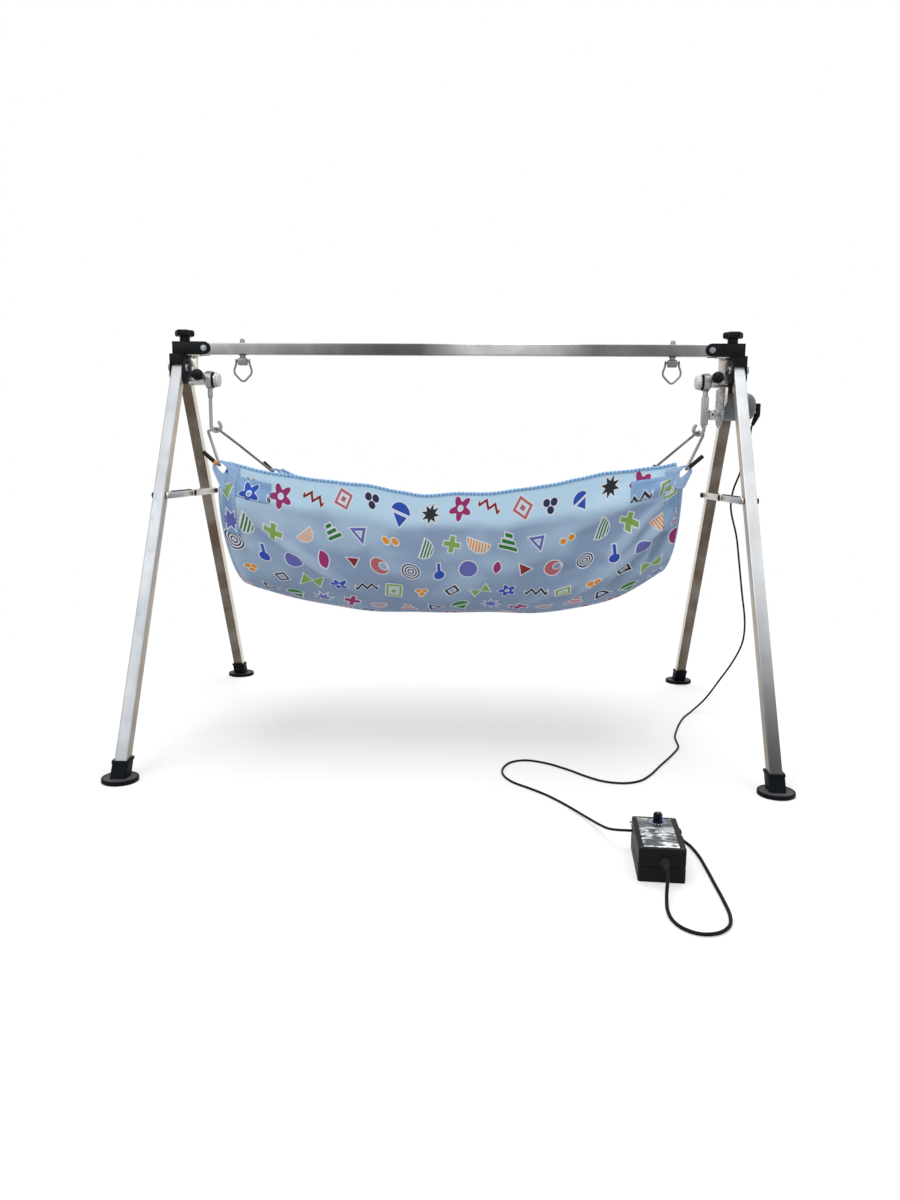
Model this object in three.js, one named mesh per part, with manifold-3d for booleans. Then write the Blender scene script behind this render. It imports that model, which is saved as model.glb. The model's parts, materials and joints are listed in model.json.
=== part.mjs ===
// Hanging baby cradle with a motor drive: two folding A-frames of square steel tube, a square top bar,
// a swinging cloth bed on two spreader wires, and a speed control box on a lead.
// Millimetres. +X runs along the top bar to the motor end, +Y away from the front, +Z up.
// The origin is on the floor, midway between the four feet.
import * as THREE from "three";
import { mergeVertices } from "three/addons/utils/BufferGeometryUtils.js";
import Module from "manifold-3d";

const wasm = await Module();
wasm.setup();

// Stand
const halfSpan = 500;
const barCentreHeight = 690;
const barSide = 20;
const barWall = 1.2;
const footSpreadAngle = THREE.MathUtils.degToRad(28.06);
const legSide = 20;
const legWall = 1.2;
const legPivotDrop = 23.7;
const legPivotOffset = 16;
const legTopLength = 11;
const legEndHeight = 14.34;

// Clearances
const touchGap = 0.3;
const boltPlay = 0.3;
const cutOver = 5;

// Brackets that hold the ends of the top bar
const bracketWall = 1.6;
const bracketDrop = 1;
const bracketBoltInset = 58;
const bracketBoltRadius = 3;
const starStudInset = 20.2;
const starStudRadius = 4;
const starStudReach = 31;

// Heads that hold the tops of the legs
const headWall = 2;
const headPlay = 0.5;
const headTopWall = 2.5;
const headTopHalfDepth = 29.4;
const headLipWall = 2;
const headLipHeight = 18.7;
const headCheekHalfDepth = 33;
const headCheekShoulder = 38.7;
const headCheekHeight = 52.7;
const headCheekFootHalfDepth = 24;

// Star knobs
const starStemRadius = 9.2;
const starStemHeight = 9.3;
const starHeadRadius = 17.8;
const starLobeDepth = 1.8;
const starLobes = 6;
const starHeadHeight = 11.5;
const starBevel = 1.2;

// Bolts
const legPivotBoltRadius = 4;
const legPivotHeadRadius = 7.5;
const legPivotHeadHeight = 5;
const legPivotNutRadius = 6.5;
const legPivotNutHeight = 4;
const bracketBoltHeadRadius = 6;
const bracketBoltHeadHeight = 3.6;

// Feet
const footRadius = 28;
const footThickness = 5;
const footRim = 1;
const footSleeveWall = 2.2;
const footSleeveHeight = 31;

// Folding stays
const stayBoltDown = 254.9;
const stayHalfHeight = 6;
const stayThickness = 3;
const stayCollarThickness = 0.8;
const stayCollarRadius = 5;
const stayBoltRadius = 3;
const stayBoltHeadRadius = 5.8;
const stayBoltHeadHeight = 4;
const stayNutRadius = 5.4;
const stayNutHeight = 3;
const stayRivetRadius = 5;
const stayRivetHeight = 2.4;
const stayFlangeHeight = 2.5;
const stayFlangeReach = 3.8;
const stayFlangeOuter = 18;
const stayFlangeInner = 8;

// Swing pivots
const pivotDrop = 55;
const pivotHousingRadius = 8;
const pivotAxleRadius = 5;
const pivotCollarRadius = 6.5;
const pivotHousingInset = 31;
const pivotCollarLength = 2.2;
const pivotWebThickness = 2.5;
const pivotWebTopInset = 18.5;
const pivotWebStepRise = 14;
const pivotWebDrop = 10;
const pivotFlangeThickness = 2.7;
const pivotFlangeInset = 23.5;
const pivotScrewInset = 10;
const pivotScrewRadius = 3.2;
const pivotScrewHeight = 2.4;
const pivotNutInset = 8.9;
const pivotNutRise = 17;
const pivotNutRadius = 5.5;
const pivotNutThickness = 4;
const eyeWidth = 11;
const eyeRadius = 16;
const bearingRadius = 11;
const bearingWidth = 9;
const axlePlay = 0.2;
const capRimWidth = 6.7;
const capRadius = 14.25;
const capFaceRadius = 12.5;
const capLength = 14.2;
const capWall = 2.2;

// Ball knobs that lock the pivots
const ballRadius = 10.5;
const ballOffset = 6;
const ballRise = 6.5;
const ballReach = 29;
const ballNeckRadius = 4.5;
const ballSeatRadius = 5.5;
const ballSeatReach = 8.6;
const ballShankRadius = 2.5;
const ballShankTip = 1.3;

// Hangers and hooks
const hangerNeckRadius = 4.5;
const hangerNeckDrop = 31;
const hangerRodRadius = 3;
const hookBendRadius = 9;
const hookDrop = 83.5;
const hookTipRise = 8.5;
const hangerBarWidth = 10;
const hangerBarDepth = 18;
const hangerBarDrop = 25;
const hangerBarLift = 8.5;
const hookSocketDepth = 9;

// Spreader wires
const wireRadius = 2.5;
const wireFrontBendInset = 11.5;
const wireFrontBendDrop = 11.5;
const wireRearBendInset = 18.5;
const wireRearBendDrop = 32.5;
const wireBendY = 90;
const cornerInset = 60.5;
const cornerY = 200;
const cornerDrop = 68.6;
const rearCornerDrop = 17;
const wireReturnReach = 23;
const wireReturnRise = 21;
const sleeveRadius = 3.4;

// Cloth bed
const clothThickness = 2.4;
const clothEndInset = 5;
const clothSideSwell = 6;
const clothWaist = 11;
const hemEndRise = 9.1;
const frontHemRise = 55;
const rearHemDrop = 14;
const bedDepth = 222;
const bedBottomRise = 52;
const hemRisePower = 1.55;
const bottomRisePower = 3;
const sectionSidePower = 0.9;
const foldDepth = 5;
const foldReach = 170;
const foldCount = 7;
const loopRadius = 9.5;
const loopStrapRadius = 2.2;
const loopTabWidth = 13;
const loopTabHeight = 14;

// Toy hooks and rings under the bar
const toyInset = 113;
const toyNeckRadius = 4;
const toyNeckLength = 7;
const toyBlockWidth = 17;
const toyBlockDepth = 12;
const toyBlockHeight = 12;
const toyScrewRadius = 2.5;
const toyNutRadius = 4.5;
const toyNutHeight = 9;
const toyRingRadius = 1.4;
const toyRingPlay = 0.5;
const toyPinDepth = 4;
const toyRingHalfTop = 12;
const toyRingHalfWidth = 17.6;
const toyRingShoulder = 5;
const toyRingWaist = 21;
const toyRingDrop = 39;

// Motor drive at the +X end
const motorPlateInset = 13.5;
const motorPlateThickness = 2;
const motorPlateHalfWidth = 30;
const motorPlateDrop = 80;
const motorFlangeWidth = 7;
const motorFlangeDrop = 45;
const motorDrop = 42.5;
const motorRadius = 24.6;
const motorBarrelLength = 49.7;
const motorEndLength = 10;
const motorEndRadius = 15;
const crankDrop = 14;
const crankRadius = 9.5;
const crankWidth = 10.5;
const crankPinRadius = 2.5;
const crankPinOffset = 6;
const crankPinLength = 1.9;
const crankShaftRadius = 3;
const crankShaftReach = 7.6;
const crankShaftHoleRadius = 4.2;

// Plug in the end of the motor
const leadPlugReach = 6;
const leadPlugRadius = 5;
const leadPlugRise = 6.5;
const leadPlugNeckDrop = 14.5;
const leadPlugTailDrop = 31.5;
const leadPlugTailRadius = 3;
const leadPlugNoseRadius = 4;
const leadPlugTailInset = 7;

// Control box
const boxCentre = [275.5, -624];
const boxTurn = THREE.MathUtils.degToRad(-4);
const boxWidth = 56;
const boxDepth = 103;
const boxHeight = 42;
const boxSeam = 19;
const boxWall = 2;
const boxCorner = 3;
const dialX = 3;
const dialInset = 17.5;
const dialRadius = 5.5;
const dialHeight = 12;
const dialTaper = 0.5;
const dialShaftRadius = 3;
const dialShaftReach = 8;
const leadEntryInset = 5.5;
const leadEntryRise = 5;
const leadEntryPlay = 0.5;
const reliefX = 3;
const reliefRise = 6;
const reliefNeckRadius = 3.6;
const reliefRadius = 5.2;
const reliefFlangeRadius = 6.2;
const reliefFlangeThickness = 2.4;
const reliefLength = 22;
const reliefTipRadius = 3;
const boardSidePlay = 4;
const boardEndPlay = 5.5;
const boardThickness = 1.6;
const boardHeight = 8;
const boardPostRadius = 3;
const boardPartWidth = 24;
const boardPartDepth = 30;
const boardPartHeight = 20;

// Leads
const leadRadius = 1.8;
const mainsRadius = 2.1;
const coilOffset = [17.5, 85];
const coilOuterRadius = 29.3;
const coilPitch = 4.7;
const coilTurnsIn = 2.5;
const coilTurnsOut = 2.4;
const coilClimbTurns = 0.3;
const plugWidth = 22;
const plugThickness = 11;
const plugLength = 26;
const plugPinRadius = 2;
const plugPinLength = 17;
const plugPinSpacing = 12;
const plugTurnRadius = 16.5;

// Heights, places and lengths that follow from the sizes above
const barTop = barCentreHeight + barSide / 2;
const barBottom = barCentreHeight - barSide / 2;
const bracketTop = barTop + touchGap + bracketWall;
const bracketBottom = barBottom - bracketDrop;
const bracketInner = barSide / 2 + touchGap;
const bracketOuter = bracketInner + bracketWall;
const headInner = legSide / 2 + headPlay;
const headOuter = headInner + headWall;
const headTop = bracketBottom - touchGap;
const standEndX = halfSpan + headOuter;
const headInnerX = halfSpan - headOuter;
const legInnerX = halfSpan - legSide / 2;
const legOuterX = halfSpan + legSide / 2;
const legPivotHeight = headTop - legPivotDrop;
const legFootLength = (legPivotHeight - legEndHeight) / Math.cos(footSpreadAngle);
const barHalfLength = standEndX - bracketWall - touchGap;
const bracketBoltX = standEndX - bracketBoltInset;
const starStudX = standEndX - starStudInset;
const footY = legPivotOffset + (legPivotHeight - footThickness / 2) * Math.tan(footSpreadAngle);
const stayHeight = legPivotHeight - stayBoltDown * Math.cos(footSpreadAngle);
const stayBoltY = legPivotOffset + stayBoltDown * Math.sin(footSpreadAngle);
const frontStayX = legInnerX - touchGap - stayCollarThickness - touchGap - stayThickness;
const backStayX = frontStayX - touchGap - stayThickness;

const pivotHeight = barCentreHeight - pivotDrop;
const pivotHousingX = headInnerX - pivotHousingInset;
const pivotWebTopX = headInnerX - pivotWebTopInset;
const pivotFlangeX = headInnerX - pivotFlangeInset;
const pivotScrewX = headInnerX - pivotScrewInset;
const pivotNutX = headInnerX - pivotNutInset;
const pivotNutHeight = pivotHeight + pivotNutRise;
const pivotWebStep = pivotHeight + pivotWebStepRise;
const pivotWebFoot = pivotHeight - pivotWebDrop;
const eyeX = pivotHousingX - pivotCollarLength - touchGap - eyeWidth / 2;
const capX = eyeX - eyeWidth / 2 - touchGap;
const capEndX = capX - capLength;
const ballX = pivotHousingX + ballOffset;
const ballHeight = pivotHeight + ballRise;

const hookEyeX = eyeX - hookBendRadius;
const hookCentreHeight = pivotHeight - hookDrop;
const hookTipHeight = hookCentreHeight + hookTipRise;
const hangerNeckFoot = pivotHeight - hangerNeckDrop;
const hangerBarTop = pivotHeight - hangerBarDrop;
const hangerBarFoot = hookCentreHeight + hangerBarLift;
const wireHookHeight = hookCentreHeight - hookBendRadius + hangerRodRadius + touchGap + wireRadius;
const wireFrontBend = [hookEyeX - wireFrontBendInset, -wireBendY, hookCentreHeight - wireFrontBendDrop];
const wireRearBend = [hookEyeX - wireRearBendInset, wireBendY, hookCentreHeight - wireRearBendDrop];
const cornerX = hookEyeX - cornerInset;
const frontCornerHeight = hookCentreHeight - cornerDrop;
const wireReturnX = cornerX + wireReturnReach;
const loopCentreRise = wireRadius + touchGap + loopStrapRadius - loopRadius;
const clothEndX = cornerX - clothEndInset;
const frontHemMiddle = frontCornerHeight + hemEndRise - frontHemRise;
const bedBottom = frontHemMiddle - bedDepth;

const toyX = halfSpan - toyInset;
const toyPinHeight = barBottom - toyNeckLength - toyPinDepth;
const motorPlateX = headInnerX - motorPlateInset;
const motorPlateFoot = pivotHeight - motorPlateDrop;
const motorFlangeFoot = pivotHeight - motorFlangeDrop;
const motorHeight = pivotHeight - motorDrop;
const motorFaceX = motorPlateX + motorPlateThickness + touchGap;
const motorBarrelX = motorFaceX + motorBarrelLength;
const motorEndX = motorBarrelX + motorEndLength;
const crankHeight = motorHeight - crankDrop;
const crankX = motorPlateX - crankShaftReach - crankWidth;
const leadPlugX = motorEndX + leadPlugReach;
const leadPlugTop = motorHeight + leadPlugRise;
const leadPlugNeck = motorHeight - leadPlugNeckDrop;
const leadPlugFoot = motorHeight - leadPlugTailDrop;
const leadPlugTailX = leadPlugX - leadPlugTailInset;

const dialY = boxDepth / 2 - dialInset;
const leadEntryY = boxDepth / 2 - leadEntryInset;
const leadEntryHeight = boxSeam + leadEntryRise;
const reliefHeight = boxSeam + reliefRise;
const boardWidth = boxWidth - 2 * (boxWall + boardSidePlay);
const boardDepth = boxDepth - 2 * (boxWall + boardEndPlay);
const coilCentre = boxCentre.map((value, axis) => value + coilOffset[axis]);

const steel = { metalness: 0.9, roughness: 0.3 };
const finishes = {
  tube: new THREE.MeshStandardMaterial({ color: 0xb9bcc0, ...steel }),
  plate: new THREE.MeshStandardMaterial({ color: 0xe0dad0, ...steel }),
  cast: new THREE.MeshStandardMaterial({ color: 0x9a9b9c, metalness: 0.7, roughness: 0.45 }),
  black: new THREE.MeshStandardMaterial({ color: 0x1e1f22, metalness: 0.1, roughness: 0.5 }),
  rubber: new THREE.MeshStandardMaterial({ color: 0x22262b, metalness: 0, roughness: 0.8 }),
  motor: new THREE.MeshStandardMaterial({ color: 0x7e8e96, metalness: 0.4, roughness: 0.4 }),
  cloth: new THREE.MeshStandardMaterial({ color: 0x92bbe2, metalness: 0, roughness: 0.9 }),
  board: new THREE.MeshStandardMaterial({ color: 0x2c6b3a, metalness: 0, roughness: 0.6 }),
};

const cradle = new THREE.Group();

// A closed geometry as a solid that can be joined and cut.
function solidOf(geometry) {
  const bare = geometry.clone();
  bare.deleteAttribute("normal");
  bare.deleteAttribute("uv");
  const merged = mergeVertices(bare);
  const triVerts = new Uint32Array(merged.index.array);
  return new wasm.Manifold(
    new wasm.Mesh({ numProp: 3, vertProperties: merged.attributes.position.array, triVerts }),
  );
}

function geometryOf(solid) {
  const mesh = solid.getMesh();
  const geometry = new THREE.BufferGeometry();
  geometry.setAttribute("position", new THREE.BufferAttribute(mesh.vertProperties, mesh.numProp));
  geometry.setIndex(new THREE.BufferAttribute(mesh.triVerts, 1));
  return geometry;
}

function join(first, ...others) {
  return others.reduce((whole, part) => whole.add(part), first);
}

function cut(first, ...others) {
  return others.reduce((whole, part) => whole.subtract(part), first);
}

// A copy on the other side of the planes x = 0 and y = 0, where signX and signY are -1.
function reflected(geometry, signX, signY) {
  const copy = geometry.clone().scale(signX, signY, 1);
  if (signX * signY < 0) {
    const index = copy.index.array;
    for (let i = 0; i < index.length; i += 3) [index[i + 1], index[i + 2]] = [index[i + 2], index[i + 1]];
  }
  return copy;
}

function place(name, geometry, material) {
  geometry.computeVertexNormals();
  const mesh = new THREE.Mesh(geometry, material);
  mesh.name = name;
  cradle.add(mesh);
}

// A piece modelled at the +X end, and its mirror image at the other end.
function placePair(name, solid, material) {
  const geometry = geometryOf(solid);
  place("right_" + name, geometry, material);
  place("left_" + name, reflected(geometry, -1, 1), material);
}

// A piece modelled at the front of the +X end, and its three mirror images.
function placeFour(name, solid, material) {
  const geometry = geometryOf(solid);
  place("right_front_" + name, geometry, material);
  place("right_back_" + name, reflected(geometry, 1, -1), material);
  place("left_front_" + name, reflected(geometry, -1, 1), material);
  place("left_back_" + name, reflected(geometry, -1, -1), material);
}

// A box between two corners.
function block(low, high) {
  const size = high.map((value, axis) => value - low[axis]);
  const geometry = new THREE.BoxGeometry(...size);
  return solidOf(geometry.translate(...high.map((value, axis) => (value + low[axis]) / 2)));
}

// A round or many-sided rod between two points, tapered when its radii differ.
function rod(from, to, radius, sides = 16, endRadius = radius) {
  const start = new THREE.Vector3(...from);
  const end = new THREE.Vector3(...to);
  const along = end.clone().sub(start);
  const geometry = new THREE.CylinderGeometry(endRadius, radius, along.length(), sides);
  const turn = new THREE.Quaternion().setFromUnitVectors(new THREE.Vector3(0, 1, 0), along.normalize());
  geometry.applyQuaternion(turn);
  const middle = start.add(end).multiplyScalar(1 / 2);
  return solidOf(geometry.translate(middle.x, middle.y, middle.z));
}

function ball(centre, radius, sides = 16) {
  const geometry = new THREE.SphereGeometry(radius, sides, sides / 2);
  return solidOf(geometry.translate(...centre));
}

// An outline in the plane across X, from x = low to x = high. Its points are (y, z).
function slabAcrossX(shape, low, high) {
  const options = { depth: high - low, bevelEnabled: false, curveSegments: 8 };
  const geometry = new THREE.ExtrudeGeometry(shape, options);
  const turn = new THREE.Matrix4().makeBasis(
    new THREE.Vector3(0, 1, 0),
    new THREE.Vector3(0, 0, 1),
    new THREE.Vector3(1, 0, 0),
  );
  return solidOf(geometry.applyMatrix4(turn).translate(low, 0, 0));
}

// An outline in the plane across Y, from y = low to y = high. Its points are (x, z).
function slabAcrossY(shape, low, high) {
  const options = { depth: high - low, bevelEnabled: false, curveSegments: 8 };
  const geometry = new THREE.ExtrudeGeometry(shape, options);
  const turn = new THREE.Matrix4().makeBasis(
    new THREE.Vector3(1, 0, 0),
    new THREE.Vector3(0, 0, 1),
    new THREE.Vector3(0, -1, 0),
  );
  return solidOf(geometry.applyMatrix4(turn).translate(0, high, 0));
}

function outline(points) {
  return new THREE.Shape(points.map(([a, b]) => new THREE.Vector2(a, b)));
}

function roundOutline(radius, sides) {
  const points = [];
  for (let i = 0; i < sides; i++) {
    const angle = (i / sides) * 2 * Math.PI;
    points.push([radius * Math.cos(angle), radius * Math.sin(angle)]);
  }
  return outline(points);
}

// A path that an extrusion follows straight from point to point, with one step between two points.
class BentPath extends THREE.Curve {
  constructor(points) {
    super();
    this.points = points.map((point) => new THREE.Vector3(...point));
  }

  getPoint(share, target = new THREE.Vector3()) {
    const reach = share * (this.points.length - 1);
    const i = Math.min(Math.floor(reach), this.points.length - 2);
    return target.lerpVectors(this.points[i], this.points[i + 1], reach - i);
  }

  getUtoTmapping(share) {
    return share;
  }
}

// A round wire that is bent at each point.
function bentWire(points, radius, sides = 8) {
  const options = { steps: points.length - 1, extrudePath: new BentPath(points) };
  return new THREE.ExtrudeGeometry(roundOutline(radius, sides), options);
}

// A round cord that runs smoothly through the points.
function cordThrough(points, radius, steps) {
  const path = new THREE.CatmullRomCurve3(
    points.map((point) => new THREE.Vector3(...point)),
    false,
    "centripetal",
  );
  return bentWire(path.getPoints(steps).map((point) => point.toArray()), radius);
}

// A closed ring of round wire with mitred corners, through points (x, z) of the plane y = 0.
function bentRing(points, radius, sides) {
  const positions = [];
  points.forEach((point, i) => {
    const before = point.clone().sub(points.at(i - 1)).normalize();
    const after = points[(i + 1) % points.length].clone().sub(point).normalize();
    const mitre = before.clone().add(after).normalize();
    const reach = radius / mitre.dot(after);
    for (let k = 0; k < sides; k++) {
      const angle = (k / sides) * 2 * Math.PI;
      const aside = reach * Math.cos(angle);
      positions.push(point.x - mitre.y * aside, radius * Math.sin(angle), point.y + mitre.x * aside);
    }
  });
  const index = [];
  for (let i = 0; i < points.length; i++) {
    for (let k = 0; k < sides; k++) {
      const next = ((i + 1) % points.length) * sides;
      const a = i * sides + k;
      const b = i * sides + ((k + 1) % sides);
      const c = next + ((k + 1) % sides);
      const d = next + k;
      index.push(a, c, b, a, d, c);
    }
  }
  const geometry = new THREE.BufferGeometry();
  geometry.setAttribute("position", new THREE.Float32BufferAttribute(positions, 3));
  geometry.setIndex(index);
  return solidOf(geometry);
}

// Turns a piece that is modelled along a leg, with the leg's pivot at the origin and the leg down -Z,
// to its place at the front of the +X end.
function alongLeg(solid) {
  const geometry = geometryOf(solid);
  geometry.rotateX(-footSpreadAngle);
  geometry.translate(halfSpan, -legPivotOffset, legPivotHeight);
  return solidOf(geometry);
}

function makeTopBar() {
  const half = barSide / 2;
  const bore = half - barWall;
  const reach = barHalfLength + cutOver;
  const holes = [];
  for (const side of [-1, 1]) {
    const top = barTop + cutOver;
    const bottom = barBottom - cutOver;
    const studX = side * starStudX;
    const screwX = side * toyX;
    const boltX = side * bracketBoltX;
    const boltRadius = bracketBoltRadius + boltPlay;
    holes.push(rod([studX, 0, bottom], [studX, 0, top], starStudRadius + boltPlay, 12));
    holes.push(rod([screwX, 0, bottom], [screwX, 0, top], toyScrewRadius + boltPlay, 12));
    holes.push(rod([boltX, -barSide, barCentreHeight], [boltX, barSide, barCentreHeight], boltRadius, 12));
  }
  const solid = cut(
    block([-barHalfLength, -half, barBottom], [barHalfLength, half, barTop]),
    block([-reach, -bore, barCentreHeight - bore], [reach, bore, barCentreHeight + bore]),
    ...holes,
  );
  place("top_bar", geometryOf(solid), finishes.tube);
}

function makeBrackets() {
  const middle = (bracketTop + bracketBottom) / 2;
  const endRadius = (bracketTop - bracketBottom) / 2;
  const shape = new THREE.Shape();
  shape.moveTo(standEndX, bracketBottom);
  shape.lineTo(standEndX, bracketTop);
  shape.lineTo(bracketBoltX, bracketTop);
  shape.absarc(bracketBoltX, middle, endRadius, Math.PI / 2, (3 * Math.PI) / 2, false);
  shape.lineTo(standEndX, bracketBottom);
  const boltRadius = bracketBoltRadius + boltPlay;
  const solid = cut(
    slabAcrossY(shape, -bracketOuter, bracketOuter),
    block(
      [bracketBoltX - endRadius - cutOver, -bracketInner, bracketBottom - cutOver],
      [standEndX - bracketWall, bracketInner, barTop + touchGap],
    ),
    rod([starStudX, 0, barTop], [starStudX, 0, bracketTop + cutOver], starStudRadius + boltPlay),
    rod(
      [bracketBoltX, -bracketOuter - cutOver, barCentreHeight],
      [bracketBoltX, bracketOuter + cutOver, barCentreHeight],
      boltRadius,
    ),
  );
  placePair("bar_bracket", solid, finishes.black);
  const face = bracketOuter + touchGap;
  const bolt = join(
    rod([bracketBoltX, -face, barCentreHeight], [bracketBoltX, face, barCentreHeight], bracketBoltRadius),
    rod(
      [bracketBoltX, -face - bracketBoltHeadHeight, barCentreHeight],
      [bracketBoltX, -face, barCentreHeight],
      bracketBoltHeadRadius,
      6,
    ),
    rod(
      [bracketBoltX, face, barCentreHeight],
      [bracketBoltX, face + bracketBoltHeadHeight, barCentreHeight],
      bracketBoltHeadRadius,
      6,
    ),
  );
  placePair("bracket_bolt", bolt, finishes.plate);
}

function makeHeads() {
  const lipFoot = headTop - headLipHeight;
  const shoulder = headTop - headCheekShoulder;
  const foot = headTop - headCheekHeight;
  const shape = outline([
    [-headTopHalfDepth, headTop],
    [-headTopHalfDepth, lipFoot],
    [-headCheekHalfDepth, shoulder],
    [-headCheekFootHalfDepth, foot],
    [headCheekFootHalfDepth, foot],
    [headCheekHalfDepth, shoulder],
    [headTopHalfDepth, lipFoot],
    [headTopHalfDepth, headTop],
  ]);
  const low = halfSpan - headInner;
  const high = halfSpan + headInner;
  const pocket = headTopHalfDepth - headLipWall;
  const cheekClear = headCheekHalfDepth + cutOver;
  const boltRadius = legPivotBoltRadius + boltPlay;
  const holes = [-legPivotOffset, legPivotOffset].map((y) => {
    const at = (x) => [x, y, legPivotHeight];
    return rod(at(headInnerX - cutOver), at(standEndX + cutOver), boltRadius);
  });
  const solid = cut(
    slabAcrossX(shape, headInnerX, standEndX),
    block([low, -pocket, foot - cutOver], [high, pocket, headTop - headTopWall]),
    block([low, -cheekClear, foot - cutOver], [high, cheekClear, lipFoot]),
    rod([starStudX, 0, lipFoot], [starStudX, 0, headTop + cutOver], starStudRadius + boltPlay),
    ...holes,
  );
  placePair("head", solid, finishes.black);
}

function makeStarKnobs() {
  const points = [];
  const steps = starLobes * 5;
  for (let i = 0; i < steps; i++) {
    const angle = (i / steps) * 2 * Math.PI;
    const radius = starHeadRadius - starBevel + starLobeDepth * Math.cos(starLobes * angle);
    points.push([radius * Math.cos(angle), radius * Math.sin(angle)]);
  }
  const head = new THREE.ExtrudeGeometry(outline(points), {
    depth: starHeadHeight - 2 * starBevel,
    bevelThickness: starBevel,
    bevelSize: starBevel,
    bevelSegments: 1,
  });
  const stemFoot = bracketTop + touchGap;
  const headFoot = stemFoot + starStemHeight;
  head.translate(starStudX, 0, headFoot + starBevel);
  const solid = join(
    solidOf(head),
    rod([starStudX, 0, stemFoot], [starStudX, 0, headFoot + starBevel], starStemRadius),
    rod([starStudX, 0, stemFoot - starStudReach], [starStudX, 0, stemFoot + starBevel], starStudRadius),
  );
  placePair("star_knob", solid, finishes.black);
}

function makeLegs() {
  const half = legSide / 2;
  const bore = half - legWall;
  const leg = cut(
    block([-half, -half, -legFootLength], [half, half, legTopLength]),
    block([-bore, -bore, -legFootLength - cutOver], [bore, bore, legTopLength + cutOver]),
    rod([-legSide, 0, 0], [legSide, 0, 0], legPivotBoltRadius + boltPlay, 12),
    rod([-legSide, 0, -stayBoltDown], [legSide, 0, -stayBoltDown], stayBoltRadius + boltPlay, 12),
  );
  placeFour("leg", alongLeg(leg), finishes.tube);
}

function makeLegPivotBolts() {
  const outer = standEndX + touchGap;
  const inner = headInnerX - touchGap;
  const at = (x) => [x, -legPivotOffset, legPivotHeight];
  const solid = join(
    rod(at(inner - legPivotNutHeight), at(outer + legPivotHeadHeight), legPivotBoltRadius),
    rod(at(outer), at(outer + legPivotHeadHeight), legPivotHeadRadius, 6),
    rod(at(inner - legPivotNutHeight), at(inner), legPivotNutRadius, 6),
  );
  placeFour("leg_bolt", solid, finishes.plate);
}

function makeFeet() {
  const pocket = legSide / 2 + touchGap;
  const sleeve = pocket + footSleeveWall;
  const sleeveTop = legFootLength - 2 * footSleeveHeight;
  const sleeveFoot = legFootLength + footSleeveHeight;
  const slab = footRadius * 2;
  const column = alongLeg(block([-sleeve, -sleeve, -sleeveFoot], [sleeve, sleeve, -sleeveTop])).intersect(
    block(
      [halfSpan - slab, -footY - slab, footThickness / 2],
      [halfSpan + slab, -footY + slab, footSleeveHeight],
    ),
  );
  const solid = join(
    rod([halfSpan, -footY, 0], [halfSpan, -footY, footThickness - footRim], footRadius, 32),
    rod(
      [halfSpan, -footY, footThickness - footRim],
      [halfSpan, -footY, footThickness],
      footRadius,
      32,
      footRadius - footRim,
    ),
    column,
  );
  const socket = alongLeg(
    block([-pocket, -pocket, -legFootLength - touchGap], [pocket, pocket, -sleeveTop + cutOver]),
  );
  placeFour("foot", cut(solid, socket), finishes.rubber);
}

// One flat link of a stay, from its leg bolt at the front to the middle of the stand.
function stayLink(lowX, middleHole) {
  const shape = new THREE.Shape();
  shape.moveTo(-stayBoltY, stayHeight - stayHalfHeight);
  shape.lineTo(0, stayHeight - stayHalfHeight);
  shape.absarc(0, stayHeight, stayHalfHeight, -Math.PI / 2, Math.PI / 2, false);
  shape.lineTo(-stayBoltY, stayHeight + stayHalfHeight);
  shape.absarc(-stayBoltY, stayHeight, stayHalfHeight, Math.PI / 2, (3 * Math.PI) / 2, false);
  const holeRadius = stayBoltRadius + boltPlay;
  const low = lowX - cutOver;
  const high = lowX + stayThickness + cutOver;
  const link = cut(
    slabAcrossX(shape, lowX, lowX + stayThickness),
    rod([low, -stayBoltY, stayHeight], [high, -stayBoltY, stayHeight], holeRadius, 12),
  );
  return middleHole ? cut(link, rod([low, 0, stayHeight], [high, 0, stayHeight], holeRadius, 12)) : link;
}

function makeStays() {
  const top = stayHeight + stayHalfHeight;
  const flange = block(
    [frontStayX, -stayBoltY + stayFlangeOuter, top - stayFlangeHeight / 2],
    [frontStayX + stayFlangeReach, -stayFlangeInner, top + stayFlangeHeight / 2],
  );
  placePair("front_stay_link", join(stayLink(frontStayX, true), flange), finishes.black);

  const rivetTip = [backStayX - stayRivetHeight, 0, stayHeight];
  const rivet = rod(rivetTip, [backStayX, 0, stayHeight], stayRivetRadius / 2, 16, stayRivetRadius);
  const mirroredLink = solidOf(reflected(geometryOf(stayLink(backStayX, false)), 1, -1));
  placePair("back_stay_link", join(mirroredLink, rivet), finishes.plate);

  makeStayBolts("front", -1, frontStayX);
  makeStayBolts("back", 1, backStayX);
}

function makeStayBolts(end, sign, linkX) {
  const y = sign * stayBoltY;
  const at = (x) => [x, y, stayHeight];
  const head = legOuterX + touchGap;
  const nut = linkX - touchGap;
  const solid = join(
    rod(at(nut - stayNutHeight), at(head + stayBoltHeadHeight), stayBoltRadius, 12),
    rod(at(head), at(head + stayBoltHeadHeight), stayBoltHeadRadius, 6),
    rod(at(linkX + stayThickness + touchGap), at(legInnerX - touchGap), stayCollarRadius, 12),
    rod(at(nut - stayNutHeight), at(nut), stayNutRadius, 6),
  );
  placePair(end + "_stay_bolt", solid, finishes.plate);
}

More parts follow.
